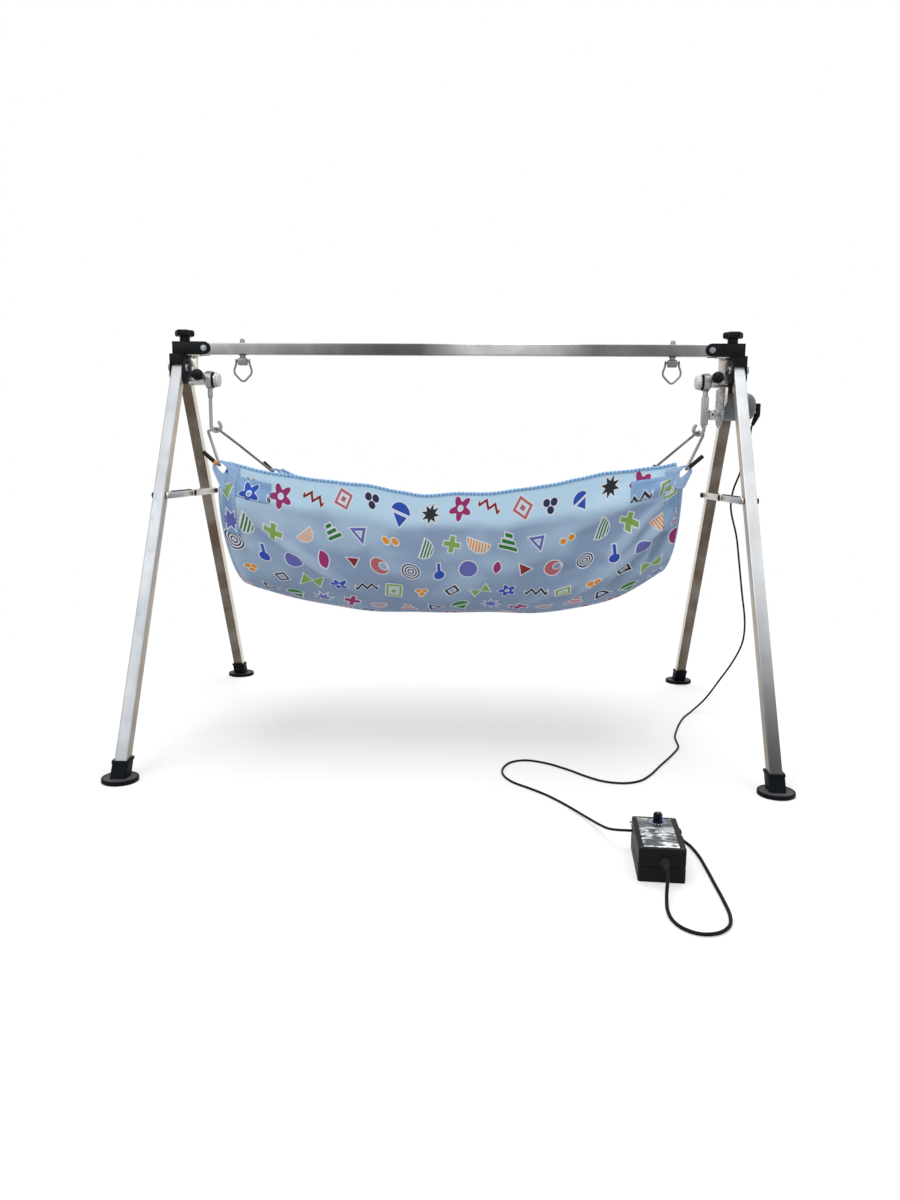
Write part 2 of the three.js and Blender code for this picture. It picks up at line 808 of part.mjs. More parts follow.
function makePivotBrackets() {
  const outerX = headInnerX - touchGap;
  const flangeTop = barBottom - touchGap;
  const flangeFoot = flangeTop - pivotFlangeThickness;
  const half = barSide / 2 - touchGap;
  const web = outline([
    [pivotWebTopX, flangeTop],
    [pivotWebTopX, pivotWebStep],
    [pivotHousingX, pivotWebStep],
    [pivotHousingX, pivotWebFoot],
    [outerX, pivotWebFoot],
    [outerX, flangeTop],
  ]);
  const axleEnd = capEndX + capWall + touchGap;
  const collarX = pivotHousingX - pivotCollarLength;
  const solid = join(
    slabAcrossY(web, -pivotWebThickness, 0),
    block([pivotFlangeX, -half, flangeFoot], [starStudX - starStudRadius - 3 * touchGap, half, flangeTop]),
    rod([pivotHousingX, 0, pivotHeight], [outerX, 0, pivotHeight], pivotHousingRadius),
    rod([collarX, 0, pivotHeight], [pivotHousingX, 0, pivotHeight], pivotCollarRadius),
    rod([axleEnd, 0, pivotHeight], [pivotHousingX, 0, pivotHeight], pivotAxleRadius),
    rod(
      [pivotScrewX, -pivotWebThickness - pivotScrewRadius, flangeFoot - pivotScrewHeight],
      [pivotScrewX, -pivotWebThickness - pivotScrewRadius, flangeTop],
      pivotScrewRadius,
      16,
    ),
    rod(
      [pivotNutX, -pivotWebThickness - pivotNutThickness, pivotNutHeight],
      [pivotNutX, 0, pivotNutHeight],
      pivotNutRadius,
      6,
    ),
    rod([ballX, -ballSeatReach, ballHeight], [ballX, 0, ballHeight], ballSeatRadius),
  );
  const shankHole = rod(
    [ballX, -ballReach, ballHeight],
    [ballX, -ballShankTip + touchGap, ballHeight],
    ballShankRadius + boltPlay,
    16,
  );
  placePair("pivot_bracket", cut(solid, shankHole), finishes.plate);
}

function makeAxleCaps() {
  const rimX = capX - capRimWidth;
  const solid = cut(
    join(
      rod([rimX, 0, pivotHeight], [capX, 0, pivotHeight], capRadius, 24),
      rod([capEndX, 0, pivotHeight], [rimX, 0, pivotHeight], capFaceRadius, 24),
    ),
    rod([capEndX + capWall, 0, pivotHeight], [capX + cutOver, 0, pivotHeight], pivotAxleRadius + boltPlay),
  );
  placePair("axle_cap", solid, finishes.plate);
}

function makeBallKnobs() {
  const centre = [ballX, -ballReach, ballHeight];
  const solid = join(
    ball(centre, ballRadius),
    rod(centre, [ballX, -ballSeatReach - touchGap, ballHeight], ballNeckRadius),
    rod(centre, [ballX, -ballShankTip, ballHeight], ballShankRadius),
  );
  placePair("ball_knob", solid, finishes.black);
}

function makeBearings() {
  const low = eyeX - bearingWidth / 2;
  const high = eyeX + bearingWidth / 2;
  const solid = cut(
    rod([low, 0, pivotHeight], [high, 0, pivotHeight], bearingRadius, 24),
    rod([low - cutOver, 0, pivotHeight], [high + cutOver, 0, pivotHeight], pivotAxleRadius + axlePlay, 24),
  );
  placePair("bearing", solid, finishes.plate);
}

// The eye that turns on the bearing, and the neck below it.
function hangerEye(neckFoot) {
  const low = eyeX - eyeWidth / 2;
  const high = eyeX + eyeWidth / 2;
  const neckTop = pivotHeight - bearingRadius - touchGap;
  const solid = join(
    rod([low, 0, pivotHeight], [high, 0, pivotHeight], eyeRadius, 24),
    rod([eyeX, 0, neckFoot], [eyeX, 0, neckTop], hangerNeckRadius),
  );
  const bore = rod(
    [low - cutOver, 0, pivotHeight],
    [high + cutOver, 0, pivotHeight],
    bearingRadius + touchGap,
    24,
  );
  return cut(solid, bore);
}

// The round rod that ends in an open hook, from a given height down.
function hookRod(top) {
  const points = [[eyeX, 0, top]];
  const steps = 8;
  for (let i = 0; i <= steps; i++) {
    const angle = (i / steps) * Math.PI;
    const x = hookEyeX + hookBendRadius * Math.cos(angle);
    points.push([x, 0, hookCentreHeight - hookBendRadius * Math.sin(angle)]);
  }
  points.push([hookEyeX - hookBendRadius, 0, hookTipHeight]);
  return solidOf(bentWire(points, hangerRodRadius));
}

function makeHangers() {
  const plain = join(hangerEye(hangerNeckFoot), hookRod(hangerNeckFoot + hangerNeckRadius));
  place("left_hanger", reflected(geometryOf(plain), -1, 1), finishes.cast);

  const halfWidth = hangerBarWidth / 2;
  const halfDepth = hangerBarDepth / 2;
  const barred = cut(
    join(
      hangerEye(hangerBarTop - hangerNeckRadius),
      block([eyeX - halfWidth, -halfDepth, hangerBarFoot], [eyeX + halfWidth, halfDepth, hangerBarTop]),
    ),
    rod(
      [eyeX, 0, hangerBarFoot - cutOver],
      [eyeX, 0, hangerBarFoot + hookSocketDepth],
      hangerRodRadius + boltPlay,
      16,
    ),
  );
  place("right_hanger", geometryOf(barred), finishes.cast);
  place("right_hook", geometryOf(hookRod(hangerBarFoot + hookSocketDepth - touchGap)), finishes.cast);
}

// Half of a spreader wire, from the hook to the turned-up end that holds a corner of the cloth.
function wireHalf(sign) {
  const corner = frontCornerHeight - (sign > 0 ? rearCornerDrop : 0);
  return [
    [hookEyeX, sign * 2 * wireRadius, wireHookHeight],
    sign > 0 ? wireRearBend : wireFrontBend,
    [cornerX + wireRadius, sign * (cornerY - 3 * wireRadius), corner + wireRadius],
    [cornerX, sign * (cornerY - 3 * wireRadius / 2), corner],
    [cornerX, sign * (cornerY + 3 * wireRadius / 2), corner],
    [cornerX + wireRadius, sign * (cornerY + 3 * wireRadius), corner + wireRadius],
    [wireReturnX, sign * (cornerY + 4 * wireRadius), corner + wireReturnRise],
  ];
}

function makeSpreaderWires() {
  const front = wireHalf(-1);
  const back = wireHalf(1);
  const sleeves = [front, back].map((half) => {
    const [from, to] = half.slice(-2);
    return rod(from, to, sleeveRadius, 8);
  });
  const solid = join(solidOf(bentWire([...front.toReversed(), ...back], wireRadius)), ...sleeves);
  placePair("spreader_wire", solid, finishes.cast);
}

// A point of the cloth bed. along runs from -1 to 1 over its length, and around from 0 at the front hem to
// 1 at the back hem.
function clothPoint(along, around) {
  const share = Math.abs(along);
  const angle = Math.PI * around;
  const rise = share ** hemRisePower;
  const halfWidth = cornerY - clothWaist * (1 - share ** 2);
  const hem = frontHemMiddle + frontHemRise * rise - rearHemDrop * around;
  const bottom = bedBottom + bedBottomRise * share ** bottomRisePower;
  const swell = Math.sin(angle) * (1 - Math.sin(angle)) * 4 * clothSideSwell;
  const side = Math.sign(Math.cos(angle)) * Math.abs(Math.cos(angle)) ** sectionSidePower;
  return new THREE.Vector3(
    along * (clothEndX + swell),
    -halfWidth * side,
    hem - (hem - bottom) * Math.sin(angle),
  );
}

// The height of the folds that fan out from the two front and two back corners.
function foldHeight(along, around) {
  let height = 0;
  for (const end of [-1, 1]) {
    for (const edge of [0, 1]) {
      const dx = (1 - along * end) * clothEndX;
      const dy = Math.abs(around - edge) * cornerY * 3;
      const distance = Math.hypot(dx, dy);
      const angle = Math.atan2(dy, dx);
      const ramp = Math.min(1, distance / (foldReach / 3));
      height += ramp * Math.exp(-distance / foldReach) * Math.sin(angle * foldCount);
    }
  }
  return height * foldDepth;
}

function makeCloth() {
  const columns = 22;
  const rows = 16;
  const outer = [];
  const inner = [];
  const step = 1 / 200;
  for (let i = 0; i <= columns; i++) {
    for (let j = 0; j <= rows; j++) {
      const along = (2 * i) / columns - 1;
      const around = j / rows;
      const point = clothPoint(along, around);
      const low = Math.max(around - step, 0);
      const high = Math.min(around + step, 1);
      const left = Math.max(along - step, -1);
      const right = Math.min(along + step, 1);
      const across = clothPoint(along, high).sub(clothPoint(along, low));
      const length = clothPoint(right, around).sub(clothPoint(left, around));
      const normal = across.cross(length).normalize();
      point.addScaledVector(normal, foldHeight(along, around));
      outer.push(point.clone().addScaledVector(normal, clothThickness / 2));
      inner.push(point.clone().addScaledVector(normal, -clothThickness / 2));
    }
  }
  const index = [];
  const stride = rows + 1;
  const offset = outer.length;
  const quad = (a, b, c, d) => index.push(a, b, c, a, c, d);
  for (let i = 0; i < columns; i++) {
    for (let j = 0; j < rows; j++) {
      const a = i * stride + j;
      quad(a, a + 1, a + stride + 1, a + stride);
      quad(offset + a, offset + a + stride, offset + a + stride + 1, offset + a + 1);
    }
  }
  for (let i = 0; i < columns; i++) {
    const a = i * stride;
    quad(a, a + stride, offset + a + stride, offset + a);
    const b = a + rows;
    quad(b, offset + b, offset + b + stride, b + stride);
  }
  for (let j = 0; j < rows; j++) {
    const a = j;
    quad(a, offset + a, offset + a + 1, a + 1);
    const b = columns * stride + j;
    quad(b, b + 1, offset + b + 1, offset + b);
  }
  const geometry = new THREE.BufferGeometry();
  const positions = [...outer, ...inner].flatMap((point) => point.toArray());
  geometry.setAttribute("position", new THREE.Float32BufferAttribute(positions, 3));
  geometry.setIndex(index);
  let solid = solidOf(geometry);
  for (const signX of [-1, 1]) {
    for (const signY of [-1, 1]) solid = solid.add(cornerLoop(signX, signY));
  }
  place("cloth_bed", geometryOf(solid), finishes.cloth);
}

// The loop at a corner of the cloth, which hangs on the turned-up end of the spreader wire.
function cornerLoop(signX, signY) {
  const height = frontCornerHeight - (signY > 0 ? rearCornerDrop : 0) + loopCentreRise;
  const ring = new THREE.TorusGeometry(loopRadius, loopStrapRadius, 5, 12);
  ring.rotateX(Math.PI / 2);
  ring.translate(signX * cornerX, signY * cornerY, height);
  const halfTab = loopTabWidth / 2;
  const tabX = signX * (cornerX - loopStrapRadius * 2);
  const tabTop = height - loopRadius;
  const halfCloth = clothThickness / 2;
  return solidOf(ring).add(
    block(
      [tabX - halfTab, signY * cornerY - halfCloth, tabTop - loopTabHeight],
      [tabX + halfTab, signY * cornerY + halfCloth, tabTop],
    ),
  );
}

function makeToyHooks() {
  const blockTop = barBottom - toyNeckLength;
  const blockFoot = blockTop - toyBlockHeight;
  const halfWidth = toyBlockWidth / 2;
  const halfDepth = toyBlockDepth / 2;
  const nutFoot = barTop + touchGap;
  const at = (height) => [toyX, 0, height];
  const pinHole = rod(
    [toyX - toyBlockWidth, 0, toyPinHeight],
    [toyX + toyBlockWidth, 0, toyPinHeight],
    toyRingRadius + toyRingPlay,
    12,
  );
  const solid = cut(
    join(
      block([toyX - halfWidth, -halfDepth, blockFoot], [toyX + halfWidth, halfDepth, blockTop]),
      rod(at(blockTop - toyNeckLength), at(barBottom - touchGap), toyNeckRadius, 16),
      rod(at(blockTop), at(nutFoot + toyNutHeight / 2), toyScrewRadius, 16),
      rod(at(nutFoot), at(nutFoot + toyNutHeight), toyNutRadius, 12, toyNutRadius / 2),
    ),
    pinHole,
  );
  placePair("toy_hook", solid, finishes.cast);
}

// A five-sided wire ring whose straight top side is the pin through the toy hook.
function makeToyRings() {
  const points = [
    [-toyRingHalfTop, 0],
    [-toyRingHalfTop, -toyRingShoulder],
    [-toyRingHalfWidth, -toyRingWaist],
    [0, -toyRingDrop],
    [toyRingHalfWidth, -toyRingWaist],
    [toyRingHalfTop, -toyRingShoulder],
    [toyRingHalfTop, 0],
  ].map(([x, z]) => new THREE.Vector2(toyX + x, toyPinHeight + z));
  placePair("toy_ring", bentRing(points, toyRingRadius, 8), finishes.cast);
}

function makeMotorPlate() {
  const top = pivotWebFoot - touchGap;
  const centre = motorPlateFoot + motorPlateHalfWidth;
  const shape = new THREE.Shape();
  shape.moveTo(motorPlateHalfWidth, top);
  shape.lineTo(-motorPlateHalfWidth, top);
  shape.lineTo(-motorPlateHalfWidth, centre);
  shape.absarc(0, centre, motorPlateHalfWidth, Math.PI, 2 * Math.PI, false);
  const high = motorPlateX + motorPlateThickness;
  const solid = cut(
    join(
      slabAcrossX(shape, motorPlateX, high),
      block(
        [motorPlateX, -motorPlateHalfWidth, motorFlangeFoot],
        [motorPlateX + motorFlangeWidth, -motorPlateHalfWidth + motorPlateThickness, top],
      ),
    ),
    rod([motorPlateX - cutOver, 0, crankHeight], [high + cutOver, 0, crankHeight], crankShaftHoleRadius),
  );
  place("motor_plate", geometryOf(solid), finishes.cast);
}

function makeMotor() {
  const at = (x) => [x, 0, motorHeight];
  const flangeX = motorPlateX + motorFlangeWidth + touchGap;
  const flangeY = -motorPlateHalfWidth + motorPlateThickness + touchGap;
  const flangeClear = block(
    [motorFaceX - cutOver, flangeY - motorRadius, motorHeight - motorRadius],
    [flangeX, flangeY, motorHeight + motorRadius],
  );
  const solid = cut(
    join(
      rod(at(motorFaceX), at(motorBarrelX), motorRadius, 28),
      rod(at(motorBarrelX), at(motorEndX), motorRadius, 28, motorEndRadius),
    ),
    flangeClear,
  );
  place("gear_motor", geometryOf(solid), finishes.motor);
}

function makeCrank() {
  const high = crankX + crankWidth;
  const pinHeight = crankHeight + crankPinOffset;
  const shaftEnd = motorPlateX + motorPlateThickness;
  const solid = join(
    rod([crankX, 0, crankHeight], [high, 0, crankHeight], crankRadius),
    rod([crankX - crankPinLength, 0, pinHeight], [high, 0, pinHeight], crankPinRadius, 12),
    rod([high - touchGap, 0, crankHeight], [shaftEnd, 0, crankHeight], crankShaftRadius, 16),
  );
  place("crank", geometryOf(solid), finishes.plate);
}

function makeLeadPlug() {
  const tail = [leadPlugTailX, 0, leadPlugFoot];
  const bend = [leadPlugX, 0, leadPlugNeck + touchGap];
  const solid = join(
    rod([leadPlugX, 0, leadPlugNeck], [leadPlugX, 0, leadPlugTop], leadPlugRadius, 20),
    rod(tail, bend, leadPlugTailRadius, 16, leadPlugRadius),
    rod([motorEndX + touchGap, 0, motorHeight], [leadPlugX, 0, motorHeight], leadPlugNoseRadius, 16),
  );
  place("motor_lead_plug", geometryOf(solid), finishes.black);
}

// The place in the part's frame of a point that is given on the control box's own centre.
function boxPoint(x, y, height) {
  const point = new THREE.Vector3(x, y, height).applyAxisAngle(new THREE.Vector3(0, 0, 1), boxTurn);
  return [point.x + boxCentre[0], point.y + boxCentre[1], point.z];
}

// Turns a piece that is modelled on the control box's own centre to the box's place on the floor.
function onBox(solid) {
  const geometry = geometryOf(solid);
  geometry.rotateZ(boxTurn);
  return geometry.translate(boxCentre[0], boxCentre[1], 0);
}

function boxShell(low, high) {
  const halfWidth = boxWidth / 2;
  const halfDepth = boxDepth / 2;
  const shape = outline([
    [-halfWidth, -halfDepth + boxCorner],
    [-halfWidth + boxCorner, -halfDepth],
    [halfWidth - boxCorner, -halfDepth],
    [halfWidth, -halfDepth + boxCorner],
    [halfWidth, halfDepth - boxCorner],
    [halfWidth - boxCorner, halfDepth],
    [-halfWidth + boxCorner, halfDepth],
    [-halfWidth, halfDepth - boxCorner],
  ]);
  const geometry = new THREE.ExtrudeGeometry(shape, { depth: high - low, bevelEnabled: false });
  return solidOf(geometry.translate(0, 0, low));
}

function makeControlBox() {
  const innerX = boxWidth / 2 - boxWall;
  const innerY = boxDepth / 2 - boxWall;
  const post = boardHeight - touchGap;
  const base = join(
    cut(
      boxShell(0, boxSeam),
      block([-innerX, -innerY, boxWall], [innerX, innerY, boxSeam + cutOver]),
    ),
    ...[-1, 1].map((side) => {
      const y = (side * boardDepth) / 3;
      return rod([0, y, boxWall / 2], [0, y, post], boardPostRadius, 12);
    }),
  );
  place("box_base", onBox(base), finishes.black);

  const frontY = -boxDepth / 2;
  const entryRadius = leadRadius + leadEntryPlay;
  const lid = cut(
    boxShell(boxSeam + touchGap, boxHeight),
    block([-innerX, -innerY, boxSeam - cutOver], [innerX, innerY, boxHeight - boxWall]),
    rod([dialX, dialY, boxSeam], [dialX, dialY, boxHeight + cutOver], dialShaftRadius + boltPlay),
    rod([-boxWidth, leadEntryY, leadEntryHeight], [0, leadEntryY, leadEntryHeight], entryRadius),
    rod(
      [reliefX, frontY - cutOver, reliefHeight],
      [reliefX, frontY + boxWall + cutOver, reliefHeight],
      reliefNeckRadius + touchGap,
    ),
  );
  place("box_lid", onBox(lid), finishes.black);

  const dialFoot = boxHeight + touchGap;
  const dialAt = (height) => [dialX, dialY, height];
  const dial = join(
    rod(dialAt(dialFoot), dialAt(dialFoot + dialHeight), dialRadius, 24, dialRadius - dialTaper),
    rod(dialAt(dialFoot - dialShaftReach), dialAt(dialFoot + dialHeight / 2), dialShaftRadius),
  );
  place("speed_dial", onBox(dial), finishes.black);

  const face = frontY - touchGap;
  const reliefAt = (y) => [reliefX, y, reliefHeight];
  const relief = join(
    rod(reliefAt(face), reliefAt(frontY + boxWall), reliefNeckRadius),
    rod(reliefAt(face - reliefFlangeThickness), reliefAt(face), reliefFlangeRadius),
    rod(reliefAt(face - reliefLength), reliefAt(face), reliefTipRadius, 24, reliefRadius),
  );
  place("strain_relief", onBox(relief), finishes.black);

  const halfBoard = boardWidth / 2;
  const halfBoardDepth = boardDepth / 2;
  const halfPart = boardPartWidth / 2;
  const boardTop = boardHeight + boardThickness;
  const board = join(
    block([-halfBoard, -halfBoardDepth, boardHeight], [halfBoard, halfBoardDepth, boardTop]),
    block(
      [-halfPart, -boardPartDepth, boardTop - boardThickness / 2],
      [halfPart, 0, boardTop + boardPartHeight],
    ),
  );
  place("circuit_board", onBox(board), finishes.board);
}

// Low-voltage lead: down from the motor plug, over the floor in a loose loop, and into the box's left side.
const leadRoute = [
  [531.5, 4, 535],
  [524, 26, 475],
  [517.5, 42, 442],
  [518.5, 56, 410],
  [538, 78, 353],
  [548, 90, 308],
  [559, 100, 249],
  [571, 108, 179],
  [569, 112, 140],
  [554, 115, 103],
  [529, 118, 62],
  [502, 116, 24],
  [474, 98, 4.5],
  [452, 62, 2.2],
  [432, 12, 2.2],
  [414, -45, 2.2],
  [405, -80, 2.2],
  [402, -112, 2.2],
  [399, -140, 2.2],
  [381, -182, 2.2],
  [348, -246, 2.2],
  [322, -296, 2.2],
  [302, -322, 2.2],
  [277, -333, 2.2],
  [248, -327, 2.2],
  [224, -307, 2.2],
  [196, -274, 2.2],
  [161, -242, 2.2],
  [129, -230, 2.2],
  [106, -241, 2.2],
  [92, -271, 2.2],
  [91, -305, 2.2],
  [105, -338, 2.2],
  [131, -366, 2.2],
  [155, -394, 2.2],
  [180, -433, 2.2],
  [202, -479, 4],
  [217, -521, 9],
  [226, -552, 16],
  [236, -569, 21.5],
];

// Mains lead: out of the strain relief, on to the floor, and round the box to the coil behind it.
const mainsRoute = [
  [271, -714, 19],
  [268.5, -724, 10.5],
  [266.5, -736, 4.2],
  [265, -750, 2.4],
  [266, -772, 2.4],
  [274, -790, 2.4],
  [290, -801, 2.4],
  [309, -798, 2.4],
  [324, -783, 2.4],
  [331, -760, 2.4],
  [333, -720, 2.4],
  [333, -680, 2.4],
  [333, -640, 2.4],
  [332, -600, 2.4],
  [328, -570, 2.4],
];

// The points of the coil behind the box: in on the lower layer, out on the upper one, then up to the plug.
function coilPoints() {
  const perTurn = 24;
  const points = [];
  const layer = mainsRadius + touchGap;
  const turns = coilTurnsIn + coilTurnsOut;
  const at = (turn) => {
    const radius = coilOuterRadius - coilPitch * (coilTurnsIn - Math.abs(coilTurnsIn - turn));
    const climb = THREE.MathUtils.smoothstep(turn, coilTurnsIn - 1 / 4, coilTurnsIn + 1 / 4);
    const lift = THREE.MathUtils.smoothstep(turn, turns - coilClimbTurns, turns);
    const angle = 2 * Math.PI * turn;
    return [
      coilCentre[0] + radius * Math.cos(angle),
      coilCentre[1] + radius * Math.sin(angle),
      layer + coilPitch * (climb + lift),
    ];
  };
  points.push([coilCentre[0] + coilOuterRadius, coilCentre[1] - 2 * mainsRadius, layer]);
  for (let i = 0; i <= Math.round(turns * perTurn); i++) points.push(at(i / perTurn));
  const last = Math.round(turns * perTurn) / perTurn;
  const heading = 2 * Math.PI * (last % 1);
  const end = points.at(-1);
  const centre = [end[0] - plugTurnRadius * Math.cos(heading), end[1] - plugTurnRadius * Math.sin(heading)];
  const sweepAngle = Math.PI / 2 + 2 * Math.PI - heading;
  const steps = 8;
  const plugLevel = layer + coilPitch + mainsRadius + touchGap * 2 + plugThickness / 2;
  for (let i = 1; i <= steps; i++) {
    const angle = heading + (sweepAngle * i) / steps;
    const rise = THREE.MathUtils.smoothstep(i, 0, steps);
    points.push([
      centre[0] + plugTurnRadius * Math.cos(angle),
      centre[1] + plugTurnRadius * Math.sin(angle),
      end[2] + (plugLevel - end[2]) * rise,
    ]);
  }
  const tip = points.at(-1);
  points.push([tip[0] - 2 * mainsRadius, tip[1], tip[2]]);
  return points;
}

// The least distance between stretches of the coil that lie at least half a turn apart, less its thickness.
function leastCoilGap(points) {
  const skip = 12;
  let least = Infinity;
  for (let i = 0; i < points.length; i++) {
    for (let j = i + skip; j < points.length; j++) {
      const distance = Math.hypot(...points[i].map((value, axis) => value - points[j][axis]));
      least = Math.min(least, distance);
    }
  }
  return least - 2 * mainsRadius;
}

// The route of the low-voltage lead between the tail of the motor plug and the hole in the box's left wall.
function motorLeadPoints() {
  const tail = new THREE.Vector3(leadPlugTailX, 0, leadPlugFoot);
  const along = tail.clone().sub(new THREE.Vector3(leadPlugX, 0, leadPlugNeck)).normalize();
  const start = [touchGap, 2 * leadRadius].map((step) =>
    tail.clone().addScaledVector(along, step).toArray(),
  );
  const wall = -boxWidth / 2;
  const entry = [wall - 4 * leadRadius, wall - leadRadius, wall + boxWall].map((x) =>
    boxPoint(x, leadEntryY, leadEntryHeight),
  );
  return [...start, ...leadRoute, ...entry];
}

// The route of the mains lead between the tip of the strain relief and the start of the coil.
function mainsLeadPoints(coilStart) {
  const tip = -boxDepth / 2 - touchGap - reliefLength;
  const start = [touchGap, 2 * mainsRadius].map((step) => boxPoint(reliefX, tip - step, reliefHeight));
  const [x, y, height] = coilStart;
  const end = [4 * mainsRadius, touchGap].map((step) => [x, y - step, height]);
  return [...start, ...mainsRoute, ...end];
}

function makeLeads() {
  const points = coilPoints();
  place("motor_lead", cordThrough(motorLeadPoints(), leadRadius, 66), finishes.black);
  place("mains_lead", cordThrough(mainsLeadPoints(points[0]), mainsRadius, 34), finishes.black);
  console.log("least gap between turns of the mains coil: " + leastCoilGap(points).toFixed(2) + " mm");
  place("mains_coil", bentWire(points, mainsRadius, 6), finishes.black);

  const [tipX, tipY, tipHeight] = points.at(-1);
  const rear = tipX - touchGap;
  const nose = rear - plugLength;
  const halfWidth = plugWidth / 2;
  const halfThickness = plugThickness / 2;
  const pins = [-1, 1].map((side) => {
    const y = tipY + (side * plugPinSpacing) / 2;
    const at = (x) => [x, y, tipHeight];
    return rod(at(nose + plugPinRadius), at(nose - plugPinLength), plugPinRadius, 12);
  });
  const plug = join(
    block(
      [nose, tipY - halfWidth, tipHeight - halfThickness],
      [rear, tipY + halfWidth, tipHeight + halfThickness],
    ),
    ...pins,
  );
  place("mains_plug", geometryOf(plug), finishes.black);
}

makeTopBar();
makeBrackets();
makeHeads();
makeStarKnobs();
makeLegs();
makeLegPivotBolts();
makeFeet();
makeStays();
makePivotBrackets();
makeAxleCaps();
makeBallKnobs();
makeBearings();
makeHangers();
makeSpreaderWires();
makeCloth();
makeToyHooks();
makeToyRings();
makeMotorPlate();
makeMotor();
makeCrank();
makeLeadPlug();
makeControlBox();
makeLeads();

export default cradle;
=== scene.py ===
"""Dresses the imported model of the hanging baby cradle: tubes, fittings, cloth bed, motor drive and leads.

Everything is in metres in the model's own frame: +X along the top bar to the motor end, +Y away from the
front, +Z up, with the origin on the floor midway between the feet.
"""

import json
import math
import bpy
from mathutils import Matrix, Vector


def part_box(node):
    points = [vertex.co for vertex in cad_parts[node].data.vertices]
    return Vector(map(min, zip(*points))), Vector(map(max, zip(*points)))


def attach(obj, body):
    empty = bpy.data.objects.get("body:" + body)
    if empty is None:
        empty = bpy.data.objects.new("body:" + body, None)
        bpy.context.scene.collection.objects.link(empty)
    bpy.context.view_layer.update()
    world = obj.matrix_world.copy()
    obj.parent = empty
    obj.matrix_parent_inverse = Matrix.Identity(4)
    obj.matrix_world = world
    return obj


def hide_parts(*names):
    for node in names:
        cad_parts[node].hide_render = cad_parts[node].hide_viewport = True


bl_info = {
    "name": "Hanging Baby Cradle",
    "version": (1, 0, 0),
    "blender": (4, 5, 0),
    "location": "View3D > Sidebar > Cradle",
    "description": "Builds the finished surfaces, cloth, leads and stage of a hanging baby cradle",
    "category": "Add Mesh",
}

import bmesh
import bpy
from bpy.props import FloatProperty, FloatVectorProperty, IntProperty, PointerProperty
from mathutils import Matrix, Vector

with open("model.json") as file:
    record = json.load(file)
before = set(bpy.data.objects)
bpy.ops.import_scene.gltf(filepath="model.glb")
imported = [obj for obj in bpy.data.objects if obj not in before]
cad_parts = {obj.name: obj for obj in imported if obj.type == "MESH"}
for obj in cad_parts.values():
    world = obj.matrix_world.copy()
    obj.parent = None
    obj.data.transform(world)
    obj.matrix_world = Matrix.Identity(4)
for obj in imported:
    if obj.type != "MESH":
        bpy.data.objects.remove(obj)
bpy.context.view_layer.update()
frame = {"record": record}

MM = 0.001
SIDES = (("left", -1), ("right", 1))
ENDS = (("front", -1), ("back", 1))
AXES = {"X": Vector((1, 0, 0)), "Y": Vector((0, 1, 0)), "Z": Vector((0, 0, 1))}
PHOTO_SIZE = (900, 1200)
FLOOR_MIDDLE_Y = -0.25
FLOOR_SHARE = 0.55


def low(node):
    """A node's lowest corner at rest."""
    return Vector(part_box(node)[0])


def high(node):
    """A node's highest corner at rest."""
    return Vector(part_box(node)[1])


def middle(node):
    """The middle of a node's box at rest."""
    return (low(node) + high(node)) / 2


def joint_place(name):
    """A point on the axis of a joint."""
    return Vector(next(j["pos_m"] for j in frame["record"]["behaviour"]["joints"] if j["name"] == name))


class CameraSettings(bpy.types.PropertyGroup):
    """Where the photograph was taken from."""

    place: FloatVectorProperty(
        name="Place", description="Where the camera stands", default=(0.0566, -1.7378, 0.4936),
        subtype="XYZ", unit="LENGTH",
    )
    heading: FloatProperty(
        name="Heading", description="Turn to the right of +Y", default=math.radians(-2.0833), subtype="ANGLE"
    )
    pitch: FloatProperty(
        name="Pitch", description="Tilt above the horizon", default=math.radians(-8.4547), subtype="ANGLE"
    )
    roll: FloatProperty(
        name="Roll", description="Turn about the line of sight", default=math.radians(0.5), subtype="ANGLE"
    )
    reach_pixels: FloatProperty(
        name="Reach", description="Focal length, in pixels of the photograph", default=940.0, min=100.0
    )


class LightSettings(bpy.types.PropertyGroup):
    """How bright the plain studio is."""

    key: FloatProperty(
        name="Key", description="Power of the large lamp at the front left", default=44.0, unit="POWER"
    )
    fill: FloatProperty(
        name="Fill", description="Power of the lamp at the right", default=15.0, unit="POWER"
    )
    top: FloatProperty(name="Top", description="Power of the lamp overhead", default=80.0, unit="POWER")
    ambient: FloatProperty(
        name="Ambient", description="Light from the room on matt surfaces", default=0.36, min=0.0
    )
    backdrop: FloatProperty(
        name="Backdrop", description="Brightness of the background", default=1.0, min=0.0
    )
    floor_colour: FloatVectorProperty(
        name="Floor", description="Colour of the floor", default=(0.95, 0.95, 0.95), subtype="COLOR"
    )
    floor_start: FloatProperty(
        name="Floor Fade Start", description="Where the floor starts to fade", default=0.55, unit="LENGTH"
    )
    floor_end: FloatProperty(
        name="Floor Fade End", description="Where the floor ends", default=1.7, unit="LENGTH"
    )


